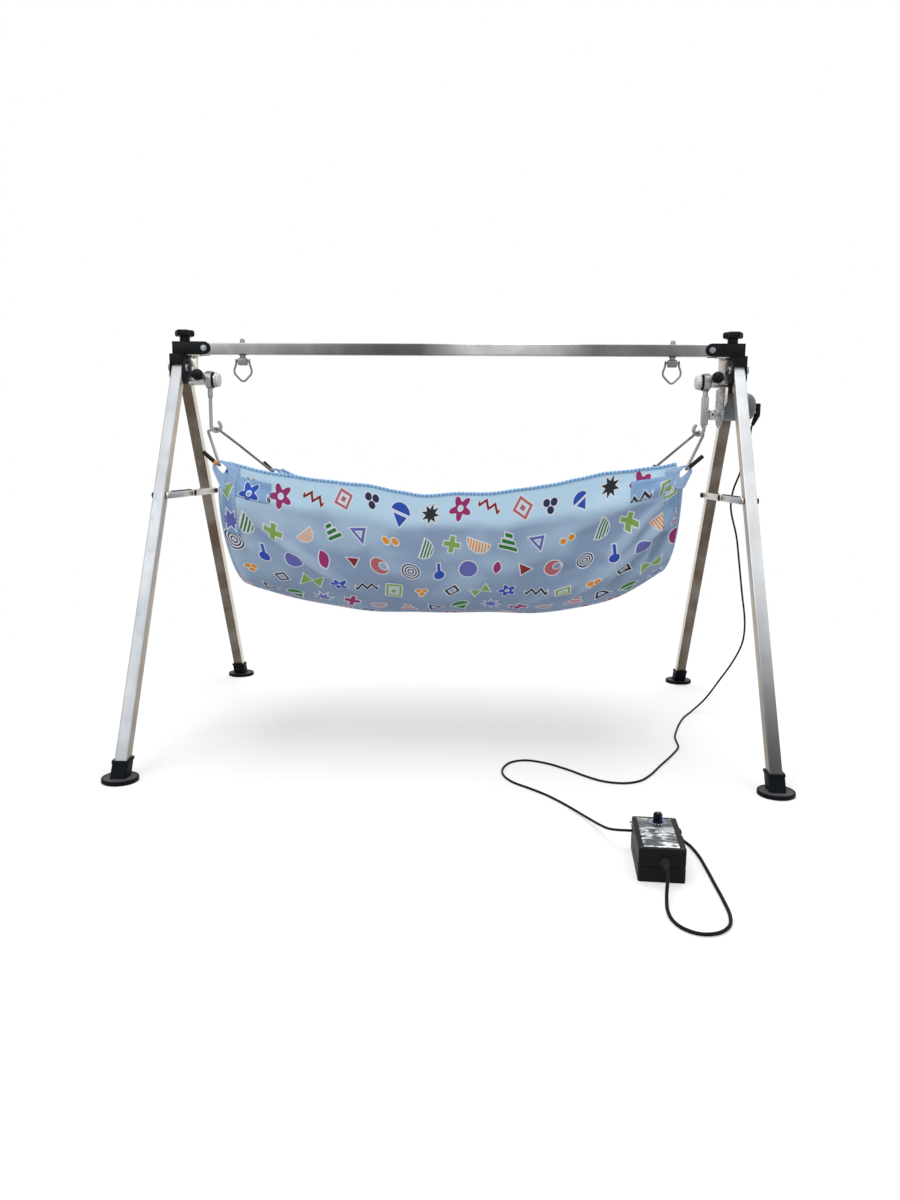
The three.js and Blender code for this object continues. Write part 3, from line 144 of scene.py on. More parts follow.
class TubeSettings(bpy.types.PropertyGroup):
    """The square steel tube of the stand."""

    wall: FloatProperty(name="Wall", description="Wall of the tube", default=1.2 * MM, unit="LENGTH")
    corner: FloatProperty(
        name="Corner", description="Radius of the tube's corners", default=2.2 * MM, unit="LENGTH"
    )
    front_colour: FloatVectorProperty(
        name="Front Legs", description="Colour of the front legs", default=(0.50, 0.53, 0.56),
        subtype="COLOR",
    )
    # The rear legs' colour is a painted dark reflection, darker than the steel itself.
    rear_reflection_colour: FloatVectorProperty(
        name="Rear Legs", description="Colour of the rear legs", default=(0.118, 0.086, 0.06),
        subtype="COLOR",
    )
    bar_colour: FloatVectorProperty(
        name="Top Bar", description="Colour of the top bar", default=(0.25, 0.245, 0.24), subtype="COLOR"
    )
    # The front legs' sides carry a painted tan reflection of the room.
    side_reflection_colour: FloatVectorProperty(
        name="Leg Sides", description="Colour of the front legs' sides", default=(0.52, 0.44, 0.35),
        subtype="COLOR",
    )


class ClothSettings(bpy.types.PropertyGroup):
    """The cloth bed, as it was cut and as it hangs."""

    flat_length: FloatProperty(
        name="Flat Length", description="Length of the cut cloth along the bar", default=0.77, unit="LENGTH"
    )
    flat_width: FloatProperty(
        name="Flat Width", description="Width of the cut cloth round the bed", default=0.655, unit="LENGTH"
    )
    thickness: FloatProperty(
        name="Thickness", description="Thickness of the cloth", default=1.4 * MM, unit="LENGTH"
    )
    # Near the hems and on the ridges of folds the cloth gets this colour as painted light; the lower colour
    # is painted shade.
    colour: FloatVectorProperty(
        name="Cloth", description="Ground colour of the cloth near the hems", default=(0.58, 0.81, 1.0),
        subtype="COLOR",
    )
    shade_colour: FloatVectorProperty(
        name="Lower Cloth", description="Ground colour of the cloth lower down",
        default=(0.285, 0.385, 0.565),
        subtype="COLOR",
    )
    hem_colour: FloatVectorProperty(
        name="Hem", description="Colour of the whipped hem", default=(0.06, 0.27, 0.58), subtype="COLOR"
    )
    motif_pitch: FloatProperty(
        name="Motif Pitch", description="Distance between printed motifs", default=50 * MM, unit="LENGTH"
    )
    columns: IntProperty(name="Columns", description="Steps along the cloth", default=190, min=20)
    rows: IntProperty(name="Rows", description="Steps round the cloth", default=130, min=20)


class CordSettings(bpy.types.PropertyGroup):
    """The two leads."""

    lead_diameter: FloatProperty(
        name="Motor Lead", description="Diameter of the low-voltage lead", default=3.6 * MM, unit="LENGTH"
    )
    mains_diameter: FloatProperty(
        name="Mains Lead", description="Diameter of the mains lead", default=4.2 * MM, unit="LENGTH"
    )


class CradleSettings(bpy.types.PropertyGroup):
    """All the sizes and colours of the cradle that a user would change."""

    camera: PointerProperty(type=CameraSettings)
    light: PointerProperty(type=LightSettings)
    tube: PointerProperty(type=TubeSettings)
    cloth: PointerProperty(type=ClothSettings)
    cord: PointerProperty(type=CordSettings)


def settings():
    """The settings of the scene that is being built."""
    return bpy.context.scene.cradle


# Shaders


class Value:
    """A number worked out by the shader, so that its sums can be written as Python."""

    def __init__(self, finish, socket):
        self.finish = finish
        self.socket = socket

    def sum(self, operation, *others):
        return Value(self.finish, self.finish.maths(operation, self, *others))

    def __add__(self, other):
        return self.sum("ADD", other)

    def __radd__(self, other):
        return self.sum("ADD", other)

    def __sub__(self, other):
        return self.sum("SUBTRACT", other)

    def __rsub__(self, other):
        return Value(self.finish, self.finish.maths("SUBTRACT", other, self))

    def __mul__(self, other):
        return self.sum("MULTIPLY", other)

    def __rmul__(self, other):
        return self.sum("MULTIPLY", other)

    def __truediv__(self, other):
        return self.sum("DIVIDE", other)

    def __rtruediv__(self, other):
        return Value(self.finish, self.finish.maths("DIVIDE", other, self))

    def __neg__(self):
        return self.sum("MULTIPLY", -1.0)

    def __abs__(self):
        return self.sum("ABSOLUTE")

    def __pow__(self, other):
        return self.sum("POWER", other)

    def lesser(self, other):
        return self.sum("MINIMUM", other)

    def greater(self, other):
        return self.sum("MAXIMUM", other)

    def part(self):
        return self.sum("FRACT")

    def whole(self):
        return self.sum("FLOOR")

    def wave(self):
        return self.sum("SINE")

    def same(self, other):
        return self.sum("COMPARE", other, 0.5)

    def wrapped(self, period):
        """The remainder after whole periods, from zero up."""
        return (self / period).part() * period

    def ramp(self, start, end):
        """Rises smoothly from 0 at start to 1 at end."""
        node = self.finish.add(
            "ShaderNodeMapRange",
            {"interpolation_type": "SMOOTHSTEP"},
            {"Value": self, "From Min": start, "From Max": end},
        )
        return Value(self.finish, node.outputs["Result"])


class Nodes:
    """A node tree whose nodes are added in code."""

    def __init__(self, tree):
        self.tree = tree

    def set(self, node, values):
        for name, value in values.items():
            socket = node.inputs[name]
            if isinstance(value, Value):
                value = value.socket
            if isinstance(value, bpy.types.NodeSocket):
                self.tree.links.new(value, socket)
            elif socket.type == "RGBA" and len(value) == 3:
                socket.default_value = (*value, 1.0)
            else:
                socket.default_value = value

    def add(self, kind, options=None, values=None):
        """Adds a node of a kind, with its settings first and then the values or links of its sockets."""
        node = self.tree.nodes.new(kind)
        for name, value in (options or {}).items():
            if name == "stops":
                self.set_stops(node.color_ramp, value)
            else:
                setattr(node, name, value)
        self.set(node, values or {})
        return node

    def set_stops(self, ramp, stops):
        """Gives a colour ramp its stops, each a place and a colour. A long list is one of separate inks."""
        ramp.interpolation = "CONSTANT" if len(stops) > 10 else "LINEAR"
        while len(ramp.elements) < len(stops):
            ramp.elements.new(1.0)
        for element, (place, colour) in zip(ramp.elements, stops):
            element.position = place
            element.color = (*colour, 1.0)

    def maths(self, operation, *terms):
        return self.add("ShaderNodeMath", {"operation": operation}, dict(enumerate(terms))).outputs[0]


class Finish(Nodes):
    """A material whose nodes are added in code."""

    def __init__(self, name, **constants):
        self.material = bpy.data.materials.new(name)
        self.material.use_nodes = True
        super().__init__(self.material.node_tree)
        self.shader = self.tree.nodes["Principled BSDF"]
        self.set(self.shader, {name.replace("_", " "): value for name, value in constants.items()})

    def place(self, source="Object"):
        """The point being shaded, in the object's own metres or on the piece's UV map."""
        return self.add("ShaderNodeTexCoord").outputs[source]

    def parts(self, vector):
        node = self.add("ShaderNodeSeparateXYZ", values={"Vector": vector})
        return [Value(self, output) for output in node.outputs]

    def joined(self, x, y, z=0.0):
        return self.add("ShaderNodeCombineXYZ", values={"X": x, "Y": y, "Z": z}).outputs[0]

    def scaled(self, vector, factors):
        node = self.add("ShaderNodeVectorMath", {"operation": "MULTIPLY"}, {0: vector, 1: factors})
        return node.outputs[0]

    def noise(self, vector, scale, detail=3.0, rough=0.55):
        values = {"Vector": vector, "Scale": scale, "Detail": detail, "Roughness": rough}
        return Value(self, self.add("ShaderNodeTexNoise", values=values).outputs["Fac"])

    def mix(self, factor, first, second, blend="MIX"):
        """A colour between two others, or a blend of them."""
        options = {"data_type": "RGBA", "blend_type": blend}
        return self.add("ShaderNodeMix", options, {0: factor, 6: first, 7: second}).outputs[2]

    def bump(self, height, strength, distance=0.5 * MM):
        values = {"Height": height, "Strength": strength, "Distance": distance}
        self.set(self.shader, {"Normal": self.add("ShaderNodeBump", values=values).outputs["Normal"]})

    def surface(self, **links):
        self.set(self.shader, {name.replace("_", " ").title(): value for name, value in links.items()})
        return self.material


def lighter(colour, share):
    """The colour moved towards white, or with a negative share towards black."""
    goal = 1.0 if share > 0 else 0.0
    return tuple(c + (goal - c) * abs(share) for c in colour)


def steel(name, colour, roughness=0.3, grain=(1.0, 1.0, 1.0), metallic=0.9, reflection_bands=None, foot=None):
    """Rolled or drawn steel: fine lines along the metal, cloudy tone and small smudges.

    Reflection bands are places in metres along X with the share of the colour there: a painted reflection of
    the room.
    Foot is the share of the colour left at floor level: a painted reflection that darkens the tube towards
    the floor.
    """
    finish = Finish(name, Metallic=metallic)
    place = finish.place()
    lines = finish.noise(finish.scaled(place, grain), 260.0, 4.0)
    clouds = finish.noise(place, 14.0, 3.0)
    smudges = finish.noise(place, 55.0, 5.0, 0.7).ramp(0.55, 0.72)
    tone = finish.mix(clouds.ramp(0.35, 0.7), lighter(colour, -0.1), lighter(colour, 0.12))
    tone = finish.mix(lines * 0.4, tone, lighter(colour, -0.25))
    across, _, height = finish.parts(place)
    # Painted reflection of the room: the tone is lighter and darker in bands along X.
    if reflection_bands:
        start, end = reflection_bands[0][0], reflection_bands[-1][0]
        stops = [((x - start) / (end - start), (share,) * 3) for x, share in reflection_bands]
        ramp = finish.add("ShaderNodeValToRGB", {"stops": stops}, {"Fac": (across - start) / (end - start)})
        tone = finish.mix(1.0, tone, ramp.outputs["Color"], "MULTIPLY")
    # Painted reflection: the tone darkens towards the floor.
    if foot:
        tone = finish.mix((1 - height.ramp(0.02, 0.4)) * (1 - foot), tone, lighter(colour, -0.92))
    finish.bump(lines, 0.12, 0.15 * MM)
    return finish.surface(base_color=tone, roughness=roughness + lines * 0.12 + smudges * 0.14)


def galvanised(name, colour):
    """Zinc-coated sheet: grey spangle and scattered pale and dark specks."""
    finish = Finish(name, Metallic=0.55)
    place = finish.place()
    spangle = finish.noise(place, 150.0, 2.0)
    specks = finish.noise(place, 420.0, 2.0, 0.8)
    tone = finish.mix(spangle.ramp(0.4, 0.62), lighter(colour, -0.35), lighter(colour, 0.3))
    tone = finish.mix(specks.ramp(0.58, 0.66), tone, lighter(colour, -0.8))
    finish.bump(spangle, 0.2, 0.3 * MM)
    return finish.surface(base_color=tone, roughness=0.42 + spangle * 0.25)


def moulded(name, colour, roughness=0.42, grit=900.0, gloss=0.1):
    """Moulded plastic or rubber with a fine grit and a little dust on it."""
    finish = Finish(name, Specular_IOR_Level=gloss)
    place = finish.place()
    fine = finish.noise(place, grit, 2.0)
    dust = finish.noise(place, 40.0, 4.0, 0.7).ramp(0.5, 0.75)
    tone = finish.mix(dust * 0.5, colour, lighter(colour, 0.012))
    finish.bump(fine, 0.14, 0.12 * MM)
    return finish.surface(base_color=tone, roughness=roughness + dust * 0.15 + fine * 0.08)


def enamel(name, colour, roughness=0.32, gloss=0.1):
    """Stoved paint on metal: faint orange peel and soft wear."""
    finish = Finish(name, Specular_IOR_Level=gloss)
    place = finish.place()
    peel = finish.noise(place, 320.0, 2.0)
    wear = finish.noise(place, 30.0, 4.0, 0.65)
    tone = finish.mix(wear.ramp(0.45, 0.7), colour, lighter(colour, 0.006))
    finish.bump(peel, 0.1, 0.2 * MM)
    return finish.surface(base_color=tone, roughness=roughness + wear * 0.15)


# Where the dark stretch of the foil beside the dial starts and ends along Y, with its soft edges.
FOIL_BAND = (-0.612, -0.604, -0.588, -0.58)


def crinkled_foil(name):
    """Bare silver foil with sharp creases, and a dark stretch beside the dial."""
    finish = Finish(name, Metallic=0.85)
    place = finish.place()
    cells = finish.add("ShaderNodeTexVoronoi", {"feature": "F1"}, {"Vector": place, "Scale": 170.0})
    creases = Value(finish, cells.outputs["Distance"])
    fine = finish.noise(place, 330.0, 3.0)
    waves = finish.noise(finish.scaled(place, (1.0, 2.2, 1.0)), 62.0, 3.0, 0.6)
    tone = finish.mix(creases.ramp(0.1, 0.7), (0.86, 0.87, 0.88), (0.45, 0.46, 0.48))
    tone = finish.mix(waves.ramp(0.47, 0.56), tone, (0.07, 0.075, 0.085))
    near, near_full, far_full, far = FOIL_BAND
    along = finish.parts(place)[1]
    band = along.ramp(near, near_full) * (1 - along.ramp(far_full, far))
    tone = finish.mix(band * 0.85, tone, (0.05, 0.053, 0.06))
    finish.bump(creases + waves * 2 + fine * 0.5, 0.7, 0.8 * MM)
    return finish.surface(base_color=tone, roughness=0.28 + fine * 0.2)


def length2(x, y):
    """The distance from the origin of a point in the plane."""
    return (x * x + y * y) ** 0.5


def ring(x, y, radius, half):
    return abs(length2(x, y) - radius) - half


def slab(x, y, half_x, half_y):
    return (abs(x) - half_x).greater(abs(y) - half_y)


def turned(x, y, degrees):
    c, s = math.cos(math.radians(degrees)), math.sin(math.radians(degrees))
    return x * c + y * s, y * c - x * s


def wedge(x, y, size):
    """A triangle that stands on its base."""
    slope = math.sqrt(3) / 2
    return (abs(x) * slope + y / 2 - size / 2).greater(-y - size / 2)


def star(x, y, points, outer, inner):
    """Points round a centre, as the part of a folded plane below one edge."""
    step = 2 * math.pi / points
    angle = Value(x.finish, x.finish.maths("ARCTAN2", y, x))
    folded = abs(angle.wrapped(step) - step / 2)
    reach = length2(x, y)
    across = reach * Value(x.finish, x.finish.maths("COSINE", folded))
    aside = reach * Value(x.finish, x.finish.maths("SINE", folded))
    far = (outer * math.cos(step / 2), outer * math.sin(step / 2))
    run, rise = far[0] - inner, far[1]
    size = math.hypot(run, rise)
    return (across - inner) * (rise / size) - aside * (run / size)


def petals(x, y, count, radius, depth):
    """A flower with round petals and an open middle."""
    angle = Value(x.finish, x.finish.maths("ARCTAN2", y, x))
    edge = length2(x, y) - Value(x.finish, x.finish.maths("COSINE", angle * count)) * depth - radius
    return edge.greater(3.4 - length2(x, y))


def motifs(x, y):
    """The printed shapes, as distances in millimetres that are negative inside the ink."""
    bars = (abs((x / 3.4).part() - 0.5) - 0.27) * 3.4
    dots = [length2(x - aside, y - up) - 4.8 for aside, up in ((5.2, -3.4), (-5.2, -3.4), (0, 5.6))]
    slant_x, slant_y = turned(x, y, 45)
    return [
        petals(x, y, 5, 9.6, 3.2),
        dots[0].lesser(dots[1]).lesser(dots[2]),
        slab(x, y, 3.2, 11).lesser(slab(x, y, 11, 3.2)),
        wedge(x, y, 12.5).greater(-wedge(x, y, 6.0)),
        length2(x, y) - 11.0,
        (length2(x, y) - 12.0).greater(6.5 - length2(x - 5.5, y)),
        slab(slant_x, slant_y, 8.5, 8.5).greater(-slab(slant_x, slant_y, 5.2, 5.2)),
        abs(y - abs((x / 14).part() - 0.5) * 18 + 4.5).greater(abs(x) - 14) - 2.6,
        (length2(x, y + 1.5) - 11.0).greater(y + 2.5).lesser(wedge(x, y - 5.5, 9.0)),
        (length2(x, y) - 13.0).greater(-y - 1).greater(bars),
        (length2(x - 6.0, y) - 4.2).lesser(length2(x + 6.0, y) - 4.2),
        (length2(x - 8.0, y) - 14.0).greater(length2(x + 8.0, y) - 14.0),
        ring(x, y, 11.5, 1.0).lesser(ring(x, y, 7.6, 0.9)).lesser(ring(x, y, 3.8, 0.9)),
        (abs(y) - abs(x) * 0.8).greater(abs(x) - 11.5),
        slab(x, y, 10.5, 10.5).greater(-slab(x, y, 7.2, 7.2)).lesser(slab(x, y, 3.2, 3.2)),
        star(x, y, 8, 13.0, 6.5),
        slab(x, y - 7, 10, 2.1).lesser(slab(x, y, 7, 2.1)).lesser(slab(x, y + 7, 4, 2.1)),
        (length2(x, y) - 12.5).greater(-x).greater(bars),
        wedge(x, y, 11.0),
        (length2(x, y - 4) - 7.0).lesser(slab(x, y + 6, 2.0, 8.5)),
    ]


INKS = (
    (0.34, 0.012, 0.15),
    (0.80, 0.30, 0.006),
    (0.012, 0.07, 0.50),
    (0.23, 0.004, 0.004),
    (0.004, 0.19, 0.015),
    (0.006, 0.006, 0.01),
    (0.50, 0.13, 0.15),
    (0.13, 0.14, 0.48),
    (0.24, 0.42, 0.08),
    (0.008, 0.012, 0.07),
)
MOTIF_GRID = (6, 5)
MOTIF_KINDS = 20
HALO_MM = 1.8


def printed(finish, across, around, tone, pitch):
    """The cloth's colour with the scattered motifs on it, each at its own size, turn and place."""
    warp_across = across + (around * 31.0 + 0.7).wave() * (6 * MM)
    warp_around = around + (across * 27.0).wave() * (6 * MM)
    row = (warp_around / pitch).whole()
    column_place = warp_across / pitch + row.wrapped(2) * 0.5
    column = column_place.whole()
    columns, rows = MOTIF_GRID
    count = columns * rows
    number = column.wrapped(columns) + row.wrapped(rows) * columns
    scatter = finish.add(
        "ShaderNodeTexWhiteNoise",
        {"noise_dimensions": "2D"},
        {"Vector": finish.joined(column.wrapped(columns), row.wrapped(rows))},
    )
    shift_x, shift_y, spin = finish.parts(scatter.outputs["Color"])
    size = (spin * 7.3 + shift_x * 3.1).part() * 0.5 + 1.05
    x = (column_place.part() - 0.5) * (pitch / MM) + (shift_x - 0.5) * 7
    y = ((warp_around / pitch).part() - 0.5) * (pitch / MM) + (shift_y - 0.5) * 7
    turn = (spin - 0.5) * 1.1
    c, s = (Value(finish, finish.maths(f, turn)) / size for f in ("COSINE", "SINE"))
    x, y = x * c + y * s, y * c - x * s
    kind = (number * 7).wrapped(MOTIF_KINDS)
    distance = 0.0
    for index, motif in enumerate(motifs(x, y)):
        distance = kind.same(index) * motif + distance
    distance = distance * size
    stops = [(i / count, INKS[(3 * i + i // len(INKS)) % len(INKS)]) for i in range(count)]
    ramp = finish.add("ShaderNodeValToRGB", {"stops": stops}, {"Fac": (number + 0.5) / count})
    ink = 1 - distance.ramp(-0.25, 0.25)
    halo = 1 - distance.ramp(HALO_MM - 0.35, HALO_MM + 0.35)
    tone = finish.mix(halo * 0.9, tone, (0.82, 0.84, 0.90))
    return finish.mix(ink * 0.97, tone, ramp.outputs["Color"])


def printed_cloth(name, colour, shade, pitch, flat_width, shift=0.0):
    """Light blue cotton with scattered geometric motifs, each with a white edge, and a plain weave.

    Colour is painted light, for the lit band at the hems and the ridges of the folds, and shade is painted
    shade for the rest.
    Shift moves the print on the cloth; without one the cloth is plain.
    """
    finish = Finish(name, Sheen_Weight=0.05, Sheen_Roughness=0.5, Specular_IOR_Level=0.2)
    across, around, _ = finish.parts(finish.place("UV"))
    place = finish.place()
    clouds = finish.noise(place, 9.0, 3.0)
    # The fold height of each vertex, for the painted highlight on ridges and painted shade in valleys.
    fold = Value(finish, finish.add("ShaderNodeAttribute", {"attribute_name": "fold"}).outputs["Fac"])
    # A tone halfway between the painted light and the painted shade.
    half_lit_tone = tuple(a * 0.45 + b * 0.55 for a, b in zip(colour, shade))
    # Random patches between the painted shade and the half-lit tone.
    patches = finish.noise(finish.joined(across, around * 1.6), 6.0, 2.0).ramp(0.42, 0.62)
    from_hem = around.lesser(flat_width - around) + (clouds - 0.5) * 0.03
    lower = finish.mix(patches, shade, half_lit_tone)
    # Painted shade: darker lower down the bed, away from the hems.
    tone = finish.mix(from_hem.ramp(0.10, 0.24) * 0.75, lower, lighter(shade, -0.2))
    # Painted highlight on the ridges of the folds.
    tone = finish.mix(fold.ramp(0.2, 1.1) * 0.7, tone, lighter(half_lit_tone, 0.1))
    # Painted light: the lit band along the hems.
    tone = finish.mix(1 - from_hem.ramp(0.034, 0.058), tone, colour)
    # Painted shade in the valleys of the folds.
    tone = finish.mix((0 - fold).ramp(0.1, 0.8) * 0.4, tone, lighter(shade, -0.5))
    if shift is not None:
        tone = printed(finish, across + shift, around + shift, tone, pitch)
    weave = (across * (math.pi / (0.35 * MM))).wave() * (around * (math.pi / (0.35 * MM))).wave()
    creases = finish.noise(place, 38.0, 4.0)
    finish.bump(weave * 0.12 + creases, 0.4, 1.4 * MM)
    return finish.surface(base_color=tone, roughness=0.82 + clouds * 0.1)


def thread(name, colour):
    """Twisted sewing thread or cord."""
    finish = Finish(name, Sheen_Weight=0.3)
    fuzz = finish.noise(finish.place(), 700.0, 3.0)
    tone = finish.mix(fuzz.ramp(0.35, 0.65), lighter(colour, -0.2), lighter(colour, 0.22))
    finish.bump(fuzz, 0.4, 0.3 * MM)
    return finish.surface(base_color=tone, roughness=0.75)


FINISHES = {}
STRIP_BLUE = (0.27, 0.44, 0.71)


def finishes():
    """The cradle's materials, made once."""
    if FINISHES:
        return FINISHES
    s = settings()
    along_x = (0.05, 1.0, 1.0)
    along_leg = (1.0, 0.25, 0.12)
    # Painted reflection of the room along the top bar, as shares of its colour.
    bar_reflection_bands = (
        (-0.48, 1.1), (-0.38, 1.2), (-0.28, 0.8), (-0.19, 0.36), (-0.06, 0.36), (0.03, 2.0), (0.13, 2.1),
        (0.25, 0.62), (0.38, 0.55), (0.48, 1.2),
    )
    cloth, shade = tuple(s.cloth.colour), tuple(s.cloth.shade_colour)
    front = tuple(s.tube.front_colour)
    pitch, width = s.cloth.motif_pitch, s.cloth.flat_width
    FINISHES.update(
        # The left front leg gets a darker copy of the steel and the right front leg a lighter one whose foot
        # is nearly black, both painted reflection; the rear legs' dark colour, their cream sides and the
        # front legs' tan sides are painted reflections too.
        front_tube=steel("front_tube_steel", lighter(front, -0.22), 0.4, along_leg, 0.6, foot=0.85),
        front_tube_shaded=steel("front_tube_shaded", lighter(front, 0.3), 0.38, along_leg, 0.6, foot=0.01),
        side_tube=steel("side_tube_steel", tuple(s.tube.side_reflection_colour), 0.34, along_leg, 0.75, foot=0.6),
        rear_tube=steel("rear_tube_steel", tuple(s.tube.rear_reflection_colour), 0.36, along_leg, 0.7),
        rear_side=steel("rear_side_steel", (0.74, 0.67, 0.57), 0.32, along_leg, 0.7),
        bar_tube=steel("bar_tube_steel", tuple(s.tube.bar_colour), 0.26, along_x, reflection_bands=bar_reflection_bands),
        plate=steel("stainless_plate", (0.60, 0.56, 0.50), 0.26, (1.0, 1.0, 0.2)),
        bright=steel("bright_steel", (0.42, 0.42, 0.43), 0.2, (0.5, 1.0, 0.5)),
        ring=steel("ring_wire", (0.17, 0.17, 0.17), 0.24, (1.0, 1.0, 1.0)),
        zinc=steel("zinc_bolt", (0.27, 0.30, 0.33), 0.3, (1.0, 1.0, 1.0), 0.4),
        cast=steel("cast_steel", (0.30, 0.29, 0.29), 0.34, (1.0, 1.0, 1.0), 0.85),
        wire=steel("dark_wire", (0.17, 0.155, 0.155), 0.34, (1.0, 0.3, 1.0), 0.8),
        galvanised=galvanised("galvanised_sheet", (0.38, 0.37, 0.36)),
        coat=enamel("black_coat", (0.0045, 0.005, 0.0065), 0.34),
        knob=moulded("black_knob", (0.004, 0.0045, 0.006), 0.36, 500.0),
        foot=moulded("foot_rubber", (0.003, 0.0045, 0.0075), 0.5, gloss=0.06),
        foot_top=moulded("foot_top", (0.062, 0.062, 0.06), 0.5),
        relief=moulded("relief_rubber", (0.02, 0.02, 0.02), 0.5),
        motor=enamel("motor_paint", (0.105, 0.122, 0.135), 0.3, 0.4),
        sleeve=moulded("wire_sleeve", (0.014, 0.013, 0.013), 0.5),
        white=moulded("white_cap", (0.72, 0.72, 0.70), 0.35, gloss=0.5),
        box=moulded("box_plastic", (0.006, 0.006, 0.0065), 0.45, 650.0),
        dial_blue=moulded("dial_blue", (0.012, 0.055, 0.22), 0.35),
        ticks=moulded("tick_paint", (0.42, 0.55, 0.85), 0.5, gloss=0.4),
        foil=crinkled_foil("silver_foil"),
        cord=moulded("cord_jacket", (0.004, 0.004, 0.0045), 0.5),
        # The cloths carry painted light at the hems and on fold ridges, and painted shade lower down and in
        # fold valleys.
        cloth=printed_cloth("printed_cotton", cloth, shade, pitch, width),
        strip=printed_cloth("strip_cotton", STRIP_BLUE, lighter(STRIP_BLUE, -0.16), pitch, width, 0.137),
        plain=printed_cloth(
            "plain_cotton", lighter(STRIP_BLUE, 0.1), lighter(STRIP_BLUE, -0.06), pitch, width, None
        ),
        hem=thread("hem_roll", tuple(s.cloth.hem_colour)),
        whip=thread("whip_thread", (0.30, 0.60, 0.90)),
        stitch=thread("stitch_thread", (0.50, 0.68, 0.88)),
        orange=moulded("orange_tag", (0.80, 0.30, 0.03), 0.6),
        board=moulded("green_board", (0.02, 0.12, 0.05), 0.4),
        plug=moulded("plug_black", (0.005, 0.005, 0.0055), 0.45),
    )
    return FINISHES


# Meshes


def turned_to(direction):
    """The turn that takes +Z to a direction."""
    return AXES["Z"].rotation_difference(Vector(direction)).to_matrix().to_4x4()


def moved(bm, matrix):
    """The mesh, moved by a matrix."""
    bmesh.ops.transform(bm, verts=bm.verts[:], matrix=matrix)
    return bm


def stood(bm, base, direction):
    """The mesh, with its origin moved to a base and its +Z turned to a direction."""
    return moved(bm, Matrix.Translation(Vector(base)) @ turned_to(direction))


def rounded(bm, radius, segments=2, least=math.radians(30)):
    """Rounds every edge that is sharper than an angle."""
    bmesh.ops.recalc_face_normals(bm, faces=bm.faces[:])
    if radius <= 0:
        return bm
    edges = [e for e in bm.edges if len(e.link_faces) == 2 and e.calc_face_angle(0) > least]
    bmesh.ops.bevel(
        bm, geom=edges, offset=radius, offset_type="OFFSET", segments=segments, profile=0.5,
        affect="EDGES", material=-1, clamp_overlap=True,
    )
    return bm


def plate(points, axis, start, end, radius=0.4 * MM, segments=2):
    """An outline across an axis, given in the other two axes in order, from start to end along it."""
    bm = bmesh.new()

    def spot(a, b):
        return {"X": (start, a, b), "Y": (a, start, b), "Z": (a, b, start)}[axis]

    face = bm.faces.new([bm.verts.new(spot(a, b)) for a, b in points])
    grown = bmesh.ops.extrude_face_region(bm, geom=[face])
    added = [v for v in grown["geom"] if isinstance(v, bmesh.types.BMVert)]
    bmesh.ops.translate(bm, verts=added, vec=AXES[axis] * (end - start))
    return rounded(bm, radius, segments)


def bar(corner, opposite, radius=0.5 * MM, segments=2):
    """A block between two corners."""
    bm = bmesh.new()
    size = Vector(opposite) - Vector(corner)
    bmesh.ops.create_cube(bm, size=1.0, matrix=Matrix.Diagonal((*size, 1.0)))
    bmesh.ops.translate(bm, verts=bm.verts[:], vec=(Vector(corner) + Vector(opposite)) / 2)
    return rounded(bm, radius, segments)


def turning(profile, base, direction, steps=40, closed=False):
    """A turned piece: its profile is (radius, distance along the axis), from the axis back to the axis.

    A closed profile keeps clear of the axis instead, and ends where it starts.
    """
    bm = bmesh.new()
    verts = [bm.verts.new((radius, 0, along)) for radius, along in profile]
    edges = [bm.edges.new(pair) for pair in zip(verts, verts[1:] + (verts[:1] if closed else []))]
    bmesh.ops.spin(
        bm, geom=verts + edges, cent=(0, 0, 0), axis=(0, 0, 1), dvec=(0, 0, 0), angle=2 * math.pi,
        steps=steps, use_merge=True, use_duplicate=False,
    )
    bmesh.ops.remove_doubles(bm, verts=bm.verts[:], dist=0.002 * MM)
    bmesh.ops.recalc_face_normals(bm, faces=bm.faces[:])
    return stood(bm, base, direction)


def rounded_rod(radius, length, round_start, round_end):
    """The profile of a rod with its two ends rounded."""
    points = [(0, 0)]
    steps = 4
    for i in range(steps + 1):
        turn = math.pi / 2 * i / steps
        points.append((radius - round_start * (1 - math.sin(turn)), round_start * (1 - math.cos(turn))))
    for i in range(steps + 1):
        turn = math.pi / 2 * i / steps
        points.append((radius - round_end * (1 - math.cos(turn)), length - round_end * (1 - math.sin(turn))))
    return [*points, (0, length)]


def rod(base, tip, radius, round_start=0.3 * MM, round_end=0.3 * MM, steps=32):
    """A round rod from base to tip."""
    along = Vector(tip) - Vector(base)
    return turning(rounded_rod(radius, along.length, round_start, round_end), base, along, steps)


def ball(centre, radius):
    bm = bmesh.new()
    bmesh.ops.create_uvsphere(bm, u_segments=36, v_segments=20, radius=radius)
    bmesh.ops.translate(bm, verts=bm.verts[:], vec=Vector(centre))
    return bm


def hexagon(base, tip, across, chamfer=0.6 * MM):
    """A hexagon nut or bolt head with its outer corners turned off."""
    along = Vector(tip) - Vector(base)
    bm = bmesh.new()
    reach = across / math.sqrt(3)
    bmesh.ops.create_cone(
        bm, cap_ends=True, segments=6, radius1=reach, radius2=reach, depth=along.length,
        matrix=Matrix.Translation((0, 0, along.length / 2)),
    )
    top = [e for e in bm.edges if all(v.co.z > along.length * 0.9 for v in e.verts)]
    bmesh.ops.bevel(
        bm, geom=top, offset=chamfer, segments=2, profile=0.5, affect="EDGES", material=-1,
        offset_type="OFFSET",
    )
    return stood(bm, base, along)


